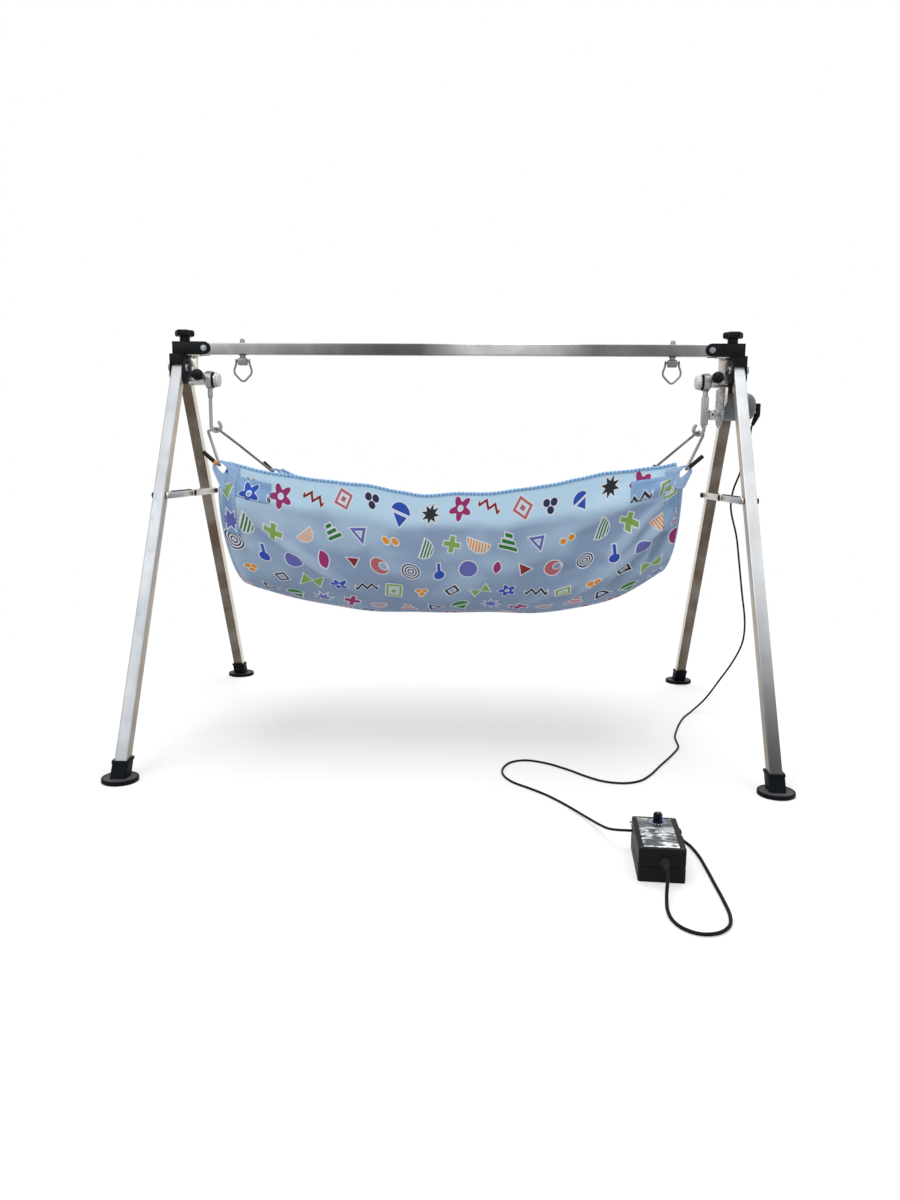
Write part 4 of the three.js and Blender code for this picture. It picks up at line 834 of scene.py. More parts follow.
def eye(centre, axis, outer, inner, width, steps=48):
    """A thick ring with rounded rims, open along its axis."""
    half, edge = width / 2, min(0.8 * MM, width / 4)
    profile = [
        (inner, -half + edge), (inner + edge, -half), (outer - edge, -half), (outer, -half + edge),
        (outer, half - edge), (outer - edge, half), (inner + edge, half), (inner, half - edge),
    ]
    return turning(profile, centre, axis, steps, closed=True)


def round_curve(name, points, radius, sides, cyclic=False):
    """A curve of one spline through points, with a round section."""
    curve = bpy.data.curves.new(name, "CURVE")
    curve.dimensions = "3D"
    curve.bevel_depth = radius
    curve.bevel_resolution = sides
    curve.use_fill_caps = True
    spline = curve.splines.new("POLY")
    spline.points.add(len(points) - 1)
    for point, place in zip(spline.points, points):
        point.co = (*place, 1.0)
    spline.use_cyclic_u = cyclic
    return curve


def wire(points, radius, cyclic=False, sides=3):
    """Round wire along points, as a mesh with closed ends."""
    curve = round_curve("wire", points, radius, sides, cyclic)
    holder = bpy.data.objects.new("wire", curve)
    bpy.context.scene.collection.objects.link(holder)
    mesh = bpy.data.meshes.new_from_object(holder.evaluated_get(bpy.context.evaluated_depsgraph_get()))
    bpy.data.objects.remove(holder)
    bpy.data.curves.remove(curve)
    bm = bmesh.new()
    bm.from_mesh(mesh)
    bpy.data.meshes.remove(mesh)
    bmesh.ops.remove_doubles(bm, verts=bm.verts[:], dist=0.005 * MM)
    bmesh.ops.recalc_face_normals(bm, faces=bm.faces[:])
    return bm


def bent(points, radius, steps=6):
    """Points with each inner corner replaced by an arc that starts a radius before it."""
    points = [Vector(p) for p in points]
    line = [points[0]]
    for before, here, after in zip(points, points[1:], points[2:]):
        into, out = (here - before), (after - here)
        reach = min(radius, into.length * 0.45, out.length * 0.45)
        start, end = here - into.normalized() * reach, here + out.normalized() * reach
        for i in range(steps + 1):
            t = i / steps
            line.append(start * (1 - t) ** 2 + here * (2 * t * (1 - t)) + end * t**2)
    return [*line, points[-1]]


def smooth(points, count):
    """Points close together on the smooth curve through a few."""
    points = [Vector(p) for p in points]
    points = [points[0] * 2 - points[1], *points, points[-1] * 2 - points[-2]]
    line = []
    for p0, p1, p2, p3 in zip(points, points[1:], points[2:], points[3:]):
        t0, t1, t2 = (max((b - a).length, 1e-6) ** 0.5 for a, b in ((p0, p1), (p1, p2), (p2, p3)))
        m1 = ((p1 - p0) / t0 - (p2 - p0) / (t0 + t1) + (p2 - p1) / t1) * t1
        m2 = ((p2 - p1) / t1 - (p3 - p1) / (t1 + t2) + (p3 - p2) / t2) * t1
        for i in range(count):
            t = i / count
            a, b = 2 * t**3 - 3 * t**2 + 1, t**3 - 2 * t**2 + t
            line.append(p1 * a + m1 * b + p2 * (3 * t**2 - 2 * t**3) + m2 * (t**3 - t**2))
    return [*line, points[-2]]


def mirrored(bm, sign):
    """The mesh, or its mirror image across the plane x = 0 when the sign is -1."""
    if sign < 0:
        bmesh.ops.scale(bm, verts=bm.verts[:], vec=(-1, 1, 1))
        bmesh.ops.reverse_faces(bm, faces=bm.faces[:])
    return bm


def piece(name, body, shapes, stands_for=(), sharp=35.0, slot=None):
    """Joins shapes, each a mesh and a finish, into one object that rides on a body."""
    mesh = bpy.data.meshes.new(name)
    whole = bmesh.new()
    for bm, finish in shapes:
        material = finishes()[finish]
        if material.name not in mesh.materials:
            mesh.materials.append(material)
        index = mesh.materials.find(material.name)
        for face in bm.faces:
            face.material_index = index
            face.smooth = True
        part = bpy.data.meshes.new("part")
        bm.to_mesh(part)
        bm.free()
        whole.from_mesh(part)
        bpy.data.meshes.remove(part)
    whole.to_mesh(mesh)
    whole.free()
    mesh.set_sharp_from_angle(angle=math.radians(sharp))
    obj = bpy.data.objects.new(name, mesh)
    bpy.context.scene.collection.objects.link(obj)
    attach(obj, body)
    if stands_for:
        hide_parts(*stands_for)
        slots = {s["node"]: s["material_slot"] for s in frame["record"]["subparts"]}
        slot = slot or slots[stands_for[0]]
    return obj


def paired(side, name, body, shapes, node):
    """A piece at one end of the stand, from shapes modelled at the right end."""
    made = [(mirrored(bm, dict(SIDES)[side]), finish) for bm, finish in shapes]
    return piece(f"{side}_{name}", body, made, [f"{side}_{node}"])


def flank_faces(obj, finish):
    """Gives the faces that look along X a finish of their own, whose colour is a painted reflection of the
    room.
    """
    obj.data.materials.append(finishes()[finish])
    for face in obj.data.polygons:
        if abs(face.normal.x) > 0.8:
            face.material_index = len(obj.data.materials) - 1


def arc(centre, radius, start, end, steps=12):
    """Points (a, b) of an arc, its angles in degrees."""
    return [
        (centre[0] + radius * math.cos(math.radians(start + (end - start) * i / steps)),
         centre[1] + radius * math.sin(math.radians(start + (end - start) * i / steps)))
        for i in range(steps + 1)
    ]


def rounded_outline(half_x, half_y, corner, steps):
    """Points of a rectangle with rounded corners."""
    points = []
    for quarter, (sx, sy) in enumerate(((1, 1), (-1, 1), (-1, -1), (1, -1))):
        centre = (sx * (half_x - corner), sy * (half_y - corner))
        points += arc(centre, corner, quarter * 90, quarter * 90 + 90, steps)
    return points


def square_tube(half, wall, corner, bottom, top):
    """A square tube with rounded corners that stands on the origin's axis, from bottom to top."""
    bm = bmesh.new()
    loops = []
    for reach, radius in ((half, corner), (half - wall, max(corner - wall, 0.4 * MM))):
        verts = [bm.verts.new((x, y, bottom)) for x, y in rounded_outline(reach, reach, radius, 5)]
        loops.append([bm.edges.new(pair) for pair in zip(verts, verts[1:] + verts[:1])])
    faces = bmesh.ops.bridge_loops(bm, edges=loops[0] + loops[1])["faces"]
    grown = bmesh.ops.extrude_face_region(bm, geom=faces)
    added = [v for v in grown["geom"] if isinstance(v, bmesh.types.BMVert)]
    bmesh.ops.translate(bm, verts=added, vec=(0, 0, top - bottom))
    bmesh.ops.recalc_face_normals(bm, faces=bm.faces[:])
    return bm


def trimmed(bm, bottom, top):
    """The tube between two heights, closed there between its rims."""
    for height, up in ((bottom, -1), (top, 1)):
        cut = bmesh.ops.bisect_plane(
            bm, geom=bm.verts[:] + bm.edges[:] + bm.faces[:], plane_co=(0, 0, height), plane_no=(0, 0, up),
            clear_outer=True,
        )
        bmesh.ops.bridge_loops(bm, edges=[e for e in cut["geom_cut"] if isinstance(e, bmesh.types.BMEdge)])
    bmesh.ops.recalc_face_normals(bm, faces=bm.faces[:])
    return bm


# Stand

LEG_ANGLE = math.radians(28.06)
LEG_TOP = 11 * MM
LEG_FOOT = 726 * MM
BAR_SIDE = 20 * MM
STAND_X = 0.5


def leg_frame(sx, sy):
    """The place of a leg: its pivot as the origin, and the leg down -Z."""
    pivot = joint_place(f"{'left' if sx < 0 else 'right'}_{'front' if sy < 0 else 'back'}_fold")
    pivot.x = sx * STAND_X
    return Matrix.Translation(pivot) @ Matrix.Rotation(sy * LEG_ANGLE, 4, "X")


class CRADLE_OT_tubes(bpy.types.Operator):
    """Builds the top bar and the four legs from rounded square tube"""

    bl_idname = "cradle.tubes"
    bl_label = "Square Tubes"

    def execute(self, context):
        s = settings().tube
        half = BAR_SIDE / 2
        reach = high("top_bar").x
        lying = Matrix.Translation((0, 0, middle("top_bar").z)) @ Matrix.Rotation(math.pi / 2, 4, "Y")
        bm = moved(square_tube(half, s.wall, s.corner, -reach, reach), lying)
        piece("bar_tube", "stand", [(bm, "bar_tube")], ["top_bar"])
        for side, sx in SIDES:
            for end, sy in ENDS:
                name = f"{side}_{end}_leg"
                bm = moved(square_tube(half, s.wall, s.corner, -LEG_FOOT, LEG_TOP), leg_frame(sx, sy))
                # The right front leg gets the lighter steel with painted reflection darkening its foot, the
                # rear legs the painted dark reflection, and the flanks their painted reflection.
                shaded = "front_tube_shaded" if side == "right" else "front_tube"
                faces, flanks = (shaded, "side_tube") if end == "front" else ("rear_tube", "rear_side")
                flank_faces(piece(f"{name}_tube", name, [(bm, faces)], [name]), flanks)
        return {"FINISHED"}


class CRADLE_OT_heads(bpy.types.Operator):
    """Builds the folded heads, the bar's end brackets, their bolts and the star knobs"""

    bl_idname = "cradle.heads"
    bl_label = "Heads and Knobs"

    def execute(self, context):
        for side, _ in SIDES:
            self.build_head(side)
            for end, _ in ENDS:
                self.build_leg_bolt(side, end)
            self.build_bracket(side)
            self.build_star_knob(side)
        return {"FINISHED"}

    def build_head(self, side):
        lo, hi = low("right_head"), high("right_head")
        wall = 2 * MM
        top_half, foot_half = 29.4 * MM, 24 * MM
        shoulder, lip_foot = hi.z - 38.7 * MM, hi.z - 18.7 * MM
        cheek = [
            (-top_half, hi.z), (-top_half, lip_foot), (lo.y, shoulder), (-foot_half, lo.z),
            (foot_half, lo.z), (hi.y, shoulder), (top_half, lip_foot), (top_half, hi.z),
        ]
        plates = [
            plate(cheek, "X", lo.x, lo.x + wall, 0.5 * MM),
            plate(cheek, "X", hi.x - wall, hi.x, 0.5 * MM),
            bar((lo.x, -top_half, hi.z - 2.5 * MM), (hi.x, top_half, hi.z), 0.8 * MM),
            bar((lo.x, -top_half, lip_foot), (hi.x, wall - top_half, hi.z), 0.7 * MM),
            bar((lo.x, top_half - wall, lip_foot), (hi.x, top_half, hi.z), 0.7 * MM),
        ]
        paired(side, "head_plates", "stand", [(bm, "coat") for bm in plates], "head")

    def build_leg_bolt(self, side, end):
        place = joint_place(f"{side}_{end}_fold")
        inner, outer = low("right_head").x - 0.3 * MM, high("right_head").x + 0.3 * MM
        tip = high("right_front_leg_bolt").x
        washer = 1.1 * MM
        disc = [(0, 0), (7.8 * MM, 0), (7.8 * MM, washer), (0, washer)]
        at = lambda x: (x, place.y, place.z)
        shapes = [
            (rod(at(inner - 4 * MM), at(outer), 4 * MM), "bright"),
            (turning(disc, at(outer), (1, 0, 0)), "bright"),
            (hexagon(at(outer + washer), at(tip), 12.6 * MM), "zinc"),
            (hexagon(at(inner), at(inner - 4 * MM), 11.2 * MM), "zinc"),
        ]
        paired(side, f"{end}_leg_bolt_set", "stand", shapes, f"{end}_leg_bolt")

    def build_bracket(self, side):
        lo, hi = low("right_bar_bracket"), high("right_bar_bracket")
        wall = 1.6 * MM
        bolt_x = middle("right_bracket_bolt").x
        centre = (lo.z + hi.z) / 2
        reach = (hi.z - lo.z) / 2
        cheek = [(hi.x, lo.z), (hi.x, hi.z), *arc((bolt_x, centre), reach, 90, 270, 16)]
        plates = [
            plate(cheek, "Y", lo.y, lo.y + wall, 0.4 * MM),
            plate(cheek, "Y", hi.y - wall, hi.y, 0.4 * MM),
            bar((bolt_x, lo.y, hi.z - wall), (hi.x, hi.y, hi.z), 0.5 * MM),
            bar((hi.x - wall, lo.y, lo.z), (hi.x, hi.y, hi.z), 0.5 * MM),
        ]
        paired(side, "bracket_plates", "stand", [(bm, "coat") for bm in plates], "bar_bracket")
        at = lambda y: (bolt_x, y, centre - 0.45 * MM)
        face = hi.y + 0.3 * MM
        seat = -face - 0.8 * MM
        bolt = [
            rod(at(-face), at(face), 3 * MM),
            rod(at(seat), at(-face), 5.4 * MM),
            hexagon(at(seat), at(low("right_bracket_bolt").y), 9.6 * MM),
            hexagon(at(face), at(high("right_bracket_bolt").y), 9.6 * MM),
        ]
        paired(side, "bracket_bolt_set", "stand", [(bm, "zinc") for bm in bolt], "bracket_bolt")

    def build_star_knob(self, side):
        lo, hi = low("right_star_knob"), high("right_star_knob")
        x = joint_place("right_star_knob_turn").x
        lobes, crown, hollow = 6, 11.5 * MM, 1.9 * MM
        outer = hi.y + 0.3 * MM
        bm = bmesh.new()
        levels = (
            (0.90, 0.0), (0.97, 0.08), (1.0, 0.22), (1.0, 0.66), (0.96, 0.84), (0.86, 0.95), (0.6, 1.0),
        )
        count = lobes * 16
        rings = []
        for share, height in levels:
            verts = []
            level = hi.z - crown * (1 - height)
            for i in range(count):
                angle = 2 * math.pi * i / count
                radius = (outer - hollow + hollow * math.cos(lobes * angle)) * share
                verts.append(bm.verts.new((x + radius * math.cos(angle), radius * math.sin(angle), level)))
            rings.append([bm.edges.new(pair) for pair in zip(verts, verts[1:] + verts[:1])])
        for lower, upper in zip(rings, rings[1:]):
            bmesh.ops.bridge_loops(bm, edges=lower + upper)
        for rim in (rings[0], rings[-1]):
            bmesh.ops.contextual_create(bm, geom=rim)
        bmesh.ops.recalc_face_normals(bm, faces=bm.faces[:])
        foot = hi.z - crown - 9.3 * MM
        at = lambda z: (x, 0, z)
        shapes = [
            (bm, "knob"),
            (rod(at(foot), at(hi.z - crown + 1 * MM), 9.2 * MM, 0.6 * MM, 0.1 * MM), "knob"),
            (rod(at(hi.z - 0.6 * MM), at(hi.z), 5 * MM, 0.1 * MM, 0.5 * MM), "knob"),
            (rod(at(lo.z), at(foot + 1 * MM), 4 * MM), "bright"),
        ]
        paired(side, "star_knob_set", f"{side}_star_knob", shapes, "star_knob")


class CRADLE_OT_feet(bpy.types.Operator):
    """Builds the round rubber feet with their leg sockets"""

    bl_idname = "cradle.feet"
    bl_label = "Feet"

    def execute(self, context):
        for side, sx in SIDES:
            for end, sy in ENDS:
                self.build_foot(f"{side}_{end}", sx, sy)
        return {"FINISHED"}

    def build_foot(self, name, sx, sy):
        node = f"{name}_foot"
        lo, hi = low(node), high(node)
        radius = 28 * MM
        centre = (sx * STAND_X, sy * (max(abs(lo.y), abs(hi.y)) - radius), 0)
        edge, floor = 26.3 * MM, 6.3 * MM
        disc = [
            (0, 0), (26.6 * MM, 0), (radius, 0.9 * MM), (radius, 6.0 * MM), (27.2 * MM, 6.9 * MM),
            (25.6 * MM, 6.9 * MM), (edge, floor), (0, floor),
        ]
        inner = [(edge, floor), (15 * MM, 6.6 * MM), (0, 6.6 * MM), (0, 3 * MM), (edge, 3 * MM)]
        sleeve, top = 12.5 * MM, -LEG_FOOT + 60 * MM
        socket = square_tube(sleeve, 2.2 * MM, 3 * MM, -LEG_FOOT - 40 * MM, top)
        lip = square_tube(sleeve + 1.0 * MM, 3.2 * MM, 3.6 * MM, -LEG_FOOT - 10 * MM, top)
        leg = leg_frame(sx, sy)
        shapes = [
            (turning(disc, centre, (0, 0, 1), 56), "foot"),
            (turning(inner, centre, (0, 0, 1), 56), "foot_top"),
            (trimmed(moved(socket, leg), floor, hi.z - 1.5 * MM), "foot"),
            (trimmed(moved(lip, leg), hi.z - 3.4 * MM, hi.z), "foot"),
        ]
        piece(f"{node}_set", f"{name}_leg", shapes, [node])


class CRADLE_OT_stays(bpy.types.Operator):
    """Builds the folding stays between the legs, with their bolts, spacers and rivets"""

    bl_idname = "cradle.stays"
    bl_label = "Stays"

    def execute(self, context):
        for side, _ in SIDES:
            for end, sy in ENDS:
                self.build_link(side, end, sy)
                self.build_bolt(side, end)
        return {"FINISHED"}

    def build_link(self, side, end, sy):
        node = f"right_{end}_stay_link"
        lo, hi = low(node), high(node)
        place = joint_place(f"right_{end}_stay_fold")
        half, thick = 6 * MM, 3 * MM
        x = lo.x if end == "front" else hi.x - thick
        reach = abs(place.y)
        ends = [*arc((-reach, place.z), half, 90, 270, 10), *arc((0, place.z), half, -90, 90, 10)]
        strap = [(-sy * y, z) for y, z in ends]
        shapes = [(plate(strap, "X", x, x + thick, 0.5 * MM), "plate")]
        if end == "front":
            channel = bar((x, -reach + 18 * MM, place.z + half - 1.2 * MM), (hi.x, -8 * MM, hi.z), 0.5 * MM)
            shapes.append((channel, "coat"))
        else:
            dome = [(0, 0), (6 * MM, 0), (5.7 * MM, 1.1 * MM), (4.6 * MM, 2.0 * MM), (0, 2.4 * MM)]
            shapes.append((turning(dome, (x, 0, place.z), (-1, 0, 0), 24), "coat"))
        paired(side, f"{end}_stay_strap", f"{side}_{end}_stay", shapes, f"{end}_stay_link")

    def build_bolt(self, side, end):
        node = f"right_{end}_stay_bolt"
        lo, hi = low(node), high(node)
        place = joint_place(f"right_{end}_stay_fold")
        at = lambda x: (x, place.y, place.z)
        outer = STAND_X + BAR_SIDE / 2 + 0.3 * MM
        inner = STAND_X - BAR_SIDE / 2 - 0.3 * MM
        washer = 0.9 * MM
        strap = high("right_back_stay_link").x if end == "back" else low("right_front_stay_link").x + 3 * MM
        shapes = [
            (rod(at(lo.x + 0.4 * MM), at(outer), 3 * MM), "zinc"),
            (rod(at(outer), at(outer + washer), 5.6 * MM), "coat"),
            (hexagon(at(outer + washer), at(hi.x), 9.6 * MM), "coat"),
            (rod(at(strap + 0.3 * MM), at(inner), 5 * MM), "coat"),
            (hexagon(at(lo.x + 3 * MM), at(lo.x), 9 * MM), "zinc" if end == "front" else "coat"),
        ]
        paired(side, f"{end}_stay_bolt_set", f"{side}_{end}_leg", shapes, f"{end}_stay_bolt")


# Swing

PIVOT = joint_place("swing")
EYE_X = 448.5 * MM
HOOK_X = 439.5 * MM
HOOK_LEVEL = 551.5 * MM
HOOK_BEND = 9 * MM


class CRADLE_OT_pivots(bpy.types.Operator):
    """Builds the pivot brackets, bearings, axle caps and ball knobs"""

    bl_idname = "cradle.pivots"
    bl_label = "Pivots"

    def execute(self, context):
        for side, _ in SIDES:
            self.build_bracket(side)
            self.build_bearing(side)
            self.build_cap(side)
            self.build_knob(side)
        return {"FINISHED"}

    def build_bracket(self, side):
        lo, hi = low("right_pivot_bracket"), high("right_pivot_bracket")
        thick = 2.5 * MM
        web_end, web_step, post_end = 469 * MM, 649 * MM, 456.5 * MM
        wall = hi.x - 0.1 * MM
        web = [
            (web_end, hi.z), (web_end, web_step + 4 * MM), (465 * MM, web_step), (post_end, web_step),
            (post_end, lo.z), (wall, lo.z), (wall, hi.z),
        ]
        at = lambda x: (x, 0, PIVOT.z)
        knob = joint_place("right_ball_knob_turn")
        pin_x, pin_y = 477.5 * MM, -5.7 * MM
        bolt = lambda y: (478.6 * MM, y, 652 * MM)
        shapes = [
            (plate(web, "Y", -thick, 0, 0.5 * MM), "plate"),
            (bar((464 * MM, lo.y, hi.z - 2.7 * MM), (hi.x, hi.y, hi.z), 0.5 * MM), "plate"),
            (rod(at(post_end), at(hi.x - 0.2 * MM), 8 * MM, 0.8 * MM, 0.3 * MM), "bright"),
            (rod(at(454.3 * MM), at(457 * MM), 6.5 * MM), "bright"),
            (rod(at(lo.x), at(457 * MM), 5 * MM), "bright"),
            (rod((knob.x, -8.6 * MM, knob.z), (knob.x, 0, knob.z), 5.5 * MM), "bright"),
            (rod((pin_x, pin_y, hi.z - 5.1 * MM), (pin_x, pin_y, hi.z), 3.2 * MM, 1.2 * MM), "bright"),
            (hexagon(bolt(-thick), bolt(-6.5 * MM), 9.4 * MM), "bright"),
            (rod(bolt(-8.2 * MM), bolt(-6 * MM), 2.4 * MM, 0.8 * MM), "bright"),
        ]
        paired(side, "pivot_plates", "stand", shapes, "pivot_bracket")

    def build_bearing(self, side):
        centre, along = (EYE_X, 0, PIVOT.z), (1, 0, 0)
        outer, outer_race, inner_race, inner = 11 * MM, 9.4 * MM, 7 * MM, 5.2 * MM
        shapes = [
            (eye(centre, along, outer, outer_race, 9 * MM), "bright"),
            (eye(centre, along, inner_race, inner, 9 * MM), "bright"),
            (eye(centre, along, outer_race, inner_race, 7.6 * MM), "sleeve"),
        ]
        paired(side, "bearing_set", "swing", shapes, "bearing")

    def build_cap(self, side):
        lo, hi = low("right_axle_cap"), high("right_axle_cap")
        length = hi.x - lo.x
        rim = [
            (0, 1.0 * MM), (5.2 * MM, 0), (13.4 * MM, 0), (14.2 * MM, 0.8 * MM), (14.2 * MM, 3.0 * MM),
            (13.4 * MM, 3.8 * MM), (5.2 * MM, 3.8 * MM), (0, 3.8 * MM),
        ]
        face = [
            (0, 6 * MM), (12.4 * MM, 6 * MM), (12.4 * MM, length - 3.4 * MM), (11.2 * MM, length - 1.6 * MM),
            (8.6 * MM, length - 0.6 * MM), (0, length),
        ]
        ridge = [
            (0, 3.4 * MM), (13.3 * MM, 3.4 * MM), (13.6 * MM, 4.2 * MM), (13.6 * MM, 7.2 * MM),
            (12.9 * MM, 8.2 * MM), (0, 8.2 * MM),
        ]
        profiles = ((rim, "knob"), (face, "white"), (ridge, "bright"))
        shapes = [(turning(line, (hi.x, 0, PIVOT.z), (-1, 0, 0), 48), finish) for line, finish in profiles]
        paired(side, "axle_cap_set", "stand", shapes, "axle_cap")

    def build_knob(self, side):
        place = joint_place("right_ball_knob_turn")
        lo, hi = low("right_ball_knob"), high("right_ball_knob")
        radius = (hi.x - lo.x) / 2
        at = lambda y: (place.x, y, place.z)
        centre, neck = at(lo.y + radius), at(-8.9 * MM)
        shapes = [
            (ball(centre, radius), "knob"),
            (rod(at(lo.y + radius * 1.75), neck, 4.5 * MM, 0.2 * MM, 0.4 * MM), "knob"),
            (rod(at(-12.5 * MM), neck, 5.4 * MM, 0.5 * MM, 0.5 * MM), "bright"),
            (rod(centre, at(hi.y), 2.5 * MM), "bright"),
        ]
        paired(side, "ball_knob_set", f"{side}_ball_knob", shapes, "ball_knob")


HOOK_TIP = (HOOK_X - 6.2 * MM, 0, HOOK_LEVEL + 7.2 * MM)


def hook_points(top):
    """The line of an open hook: straight down, round the bend and up to its tip."""
    return [
        (EYE_X, 0, top),
        *((x, 0, z) for x, z in arc((HOOK_X, HOOK_LEVEL), HOOK_BEND, 0, -190, 20)),
        HOOK_TIP,
    ]


class CRADLE_OT_hangers(bpy.types.Operator):
    """Builds the two hangers and the hooks that carry the spreader wires"""

    bl_idname = "cradle.hangers"
    bl_label = "Hangers"

    def execute(self, context):
        outer, inner = 16 * MM, 11.3 * MM
        neck_foot, neck_top = 603 * MM, PIVOT.z - outer + 1.5 * MM
        at = lambda z: (EYE_X, 0, z)
        for side, _ in SIDES:
            shapes = [(eye(at(PIVOT.z), (1, 0, 0), outer, inner, 11 * MM, 64), "cast")]
            if side == "left":
                neck = rod(at(neck_foot), at(neck_top), 4.5 * MM, 1.6 * MM, 0.1 * MM)
                shapes += [(neck, "cast"), *self.hook(neck_foot + 2 * MM)]
                paired(side, "hanger_set", "swing", shapes, "hanger")
                continue
            top, foot = 610 * MM, low("right_hanger").z
            half, deep = 5 * MM, 9 * MM
            neck = rod(at(top - 4 * MM), at(neck_top), 4.5 * MM, 0.2 * MM, 0.1 * MM)
            strip = bar((EYE_X - half, -deep, foot), (EYE_X + half, deep, top), 0.9 * MM, 3)
            paired(side, "hanger_set", "swing", [*shapes, (neck, "cast"), (strip, "cast")], "hanger")
            nut = hexagon(at(foot - 0.3 * MM), at(foot - 3.6 * MM), 8.4 * MM)
            paired(side, "hook_set", "swing", [*self.hook(high("right_hook").z), (nut, "bright")], "hook")
        return {"FINISHED"}

    def hook(self, top):
        """The open hook from its top down, with a rounded tip."""
        radius = 3.2 * MM
        return [(wire(hook_points(top), radius, sides=5), "cast"), (ball(HOOK_TIP, radius), "cast")]


CORNER_X, CORNER_Y = 379 * MM, 200 * MM
CORNER_LEVEL = {-1: 482.9 * MM, 1: 465.9 * MM}
WIRE_RADIUS = 2.5 * MM
WIRE_BEND = {-1: (428 * MM, -90 * MM, 540 * MM), 1: (421 * MM, 90 * MM, 519 * MM)}
HOOK_WIRE_LEVEL = HOOK_LEVEL - HOOK_BEND + 5.8 * MM


def wire_half(sy):
    """One arm of the right spreader wire, from the hook to its turned-up end."""
    corner = CORNER_LEVEL[sy]
    r = WIRE_RADIUS
    return [
        (HOOK_X, sy * 2 * r, HOOK_WIRE_LEVEL),
        WIRE_BEND[sy],
        (CORNER_X + r, sy * (CORNER_Y - 3 * r), corner + r),
        (CORNER_X, sy * (CORNER_Y - 1.5 * r), corner),
        (CORNER_X, sy * (CORNER_Y + 1.5 * r), corner),
        (CORNER_X + r, sy * (CORNER_Y + 3 * r), corner + r),
        (402 * MM, sy * (CORNER_Y + 4 * r), corner + 21 * MM),
    ]


class CRADLE_OT_wires(bpy.types.Operator):
    """Builds the bent spreader wires with their end sleeves"""

    bl_idname = "cradle.wires"
    bl_label = "Spreader Wires"

    def execute(self, context):
        for side, _ in SIDES:
            front, back = wire_half(-1), wire_half(1)
            line = bent([*reversed(front), *back], 7 * MM)
            shapes = [(wire(line, WIRE_RADIUS, sides=5), "wire")]
            for start, end in (front[-2:], back[-2:]):
                shapes.append((rod(start, end, 3.4 * MM, 0.6 * MM, 1.2 * MM), "sleeve"))
            if side == "left":
                tip = Vector(front[-2]).lerp(Vector(front[-1]), 0.16)
                shapes.append((rod(front[-2], tip, 3.8 * MM, 0.4 * MM, 0.4 * MM), "orange"))
            paired(side, "spreader_wire_set", "swing", shapes, "spreader_wire")
        return {"FINISHED"}


# Cloth

CLOTH_END_X = 374 * MM
CLOTH_HALF_MIDDLE, CLOTH_HALF_END = 189 * MM, 200 * MM
HEM_MIDDLE, HEM_RISE, REAR_DROP, REAR_SAG = 437 * MM, 55 * MM, 14 * MM, 18 * MM
BED_BOTTOM, BED_RISE, RIGHT_RISE = 215 * MM, 48 * MM, 30 * MM

# Rises and dips of the front hem: the place along it and the height in millimetres.
HEM_WAVES = (
    (-1.0, -3), (-0.83, -5.5), (-0.64, -2.5), (-0.49, 0.5), (-0.36, 3), (-0.23, -1), (-0.13, -3.5),
    (0.03, 2.5), (0.18, -0.5), (0.31, 1.5), (0.44, 2.5), (0.55, 5.5), (0.66, 8), (0.81, 4), (0.92, 1),
    (1.0, 2),
)


def hem_wave(along):
    """How far the front hem stands above its smooth line."""
    for (start, first), (end, last) in zip(HEM_WAVES, HEM_WAVES[1:]):
        if along <= end:
            return (first + (last - first) * eased(along, start, end)) * MM
    return HEM_WAVES[-1][1] * MM


def cloth_point(along, around):
    """A point of the bed's smooth form: along from -1 to 1, around from 0 at the front hem to 1 behind."""
    share = abs(along)
    angle = math.pi * around
    depth = math.sin(angle)
    half = CLOTH_HALF_MIDDLE + (CLOTH_HALF_END - CLOTH_HALF_MIDDLE) * share**2
    wave = hem_wave(along) * (1 - around) ** 2 + 0.6 * hem_wave(-along) * around**2
    hem = HEM_MIDDLE + HEM_RISE * share**1.55 - (REAR_DROP + REAR_SAG * (1 - share**8)) * around + wave
    bottom = BED_BOTTOM + BED_RISE * share**3 + (RIGHT_RISE * share**5 if along > 0 else 0)
    swell = depth * (1 - depth) ** 2 * 55 * MM if along < 0 else 0
    side = math.copysign(abs(math.cos(angle)) ** 0.9, math.cos(angle))
    return Vector((along * (CLOTH_END_X + swell), -half * side, hem - (hem - bottom) * depth))


# Folds of the front, each from one place (along, around) to another, with its height and width in
# millimetres. The back has the same folds from the other end.
CREASES = (
    (-0.95, 0.06, -0.34, 0.32, 13, 18), (-0.93, 0.09, -0.84, 0.32, 7, 11),
    (-0.74, 0.13, -0.42, 0.21, -7, 13), (-0.97, 0.19, -0.96, 0.42, 7, 10),
    (-0.90, 0.05, -0.55, 0.075, 5, 10), (0.93, 0.04, 0.44, 0.13, 10, 14), (0.92, 0.06, 0.64, 0.17, -7, 9),
    (0.93, 0.07, 0.60, 0.25, 12, 13), (0.95, 0.13, 0.50, 0.33, 12, 12), (0.93, 0.17, 0.66, 0.36, -9, 9),
    (0.96, 0.17, 0.88, 0.29, -14, 11), (0.965, 0.10, 0.95, 0.22, 7, 8), (0.58, 0.25, 0.18, 0.37, 7, 13),
    (-0.30, 0.24, -0.02, 0.31, -5, 15), (0.10, 0.12, 0.42, 0.10, 4, 15), (-0.62, 0.33, -0.20, 0.41, 5, 14),
    (0.72, 0.20, 0.36, 0.22, -6, 11), (-0.55, 0.10, -0.15, 0.17, 5, 20),
)

# The height of a fold whose ridge is palest: the unit of the painted highlight on ridges and painted shade
# in valleys.
FOLD_FULL = 10 * MM

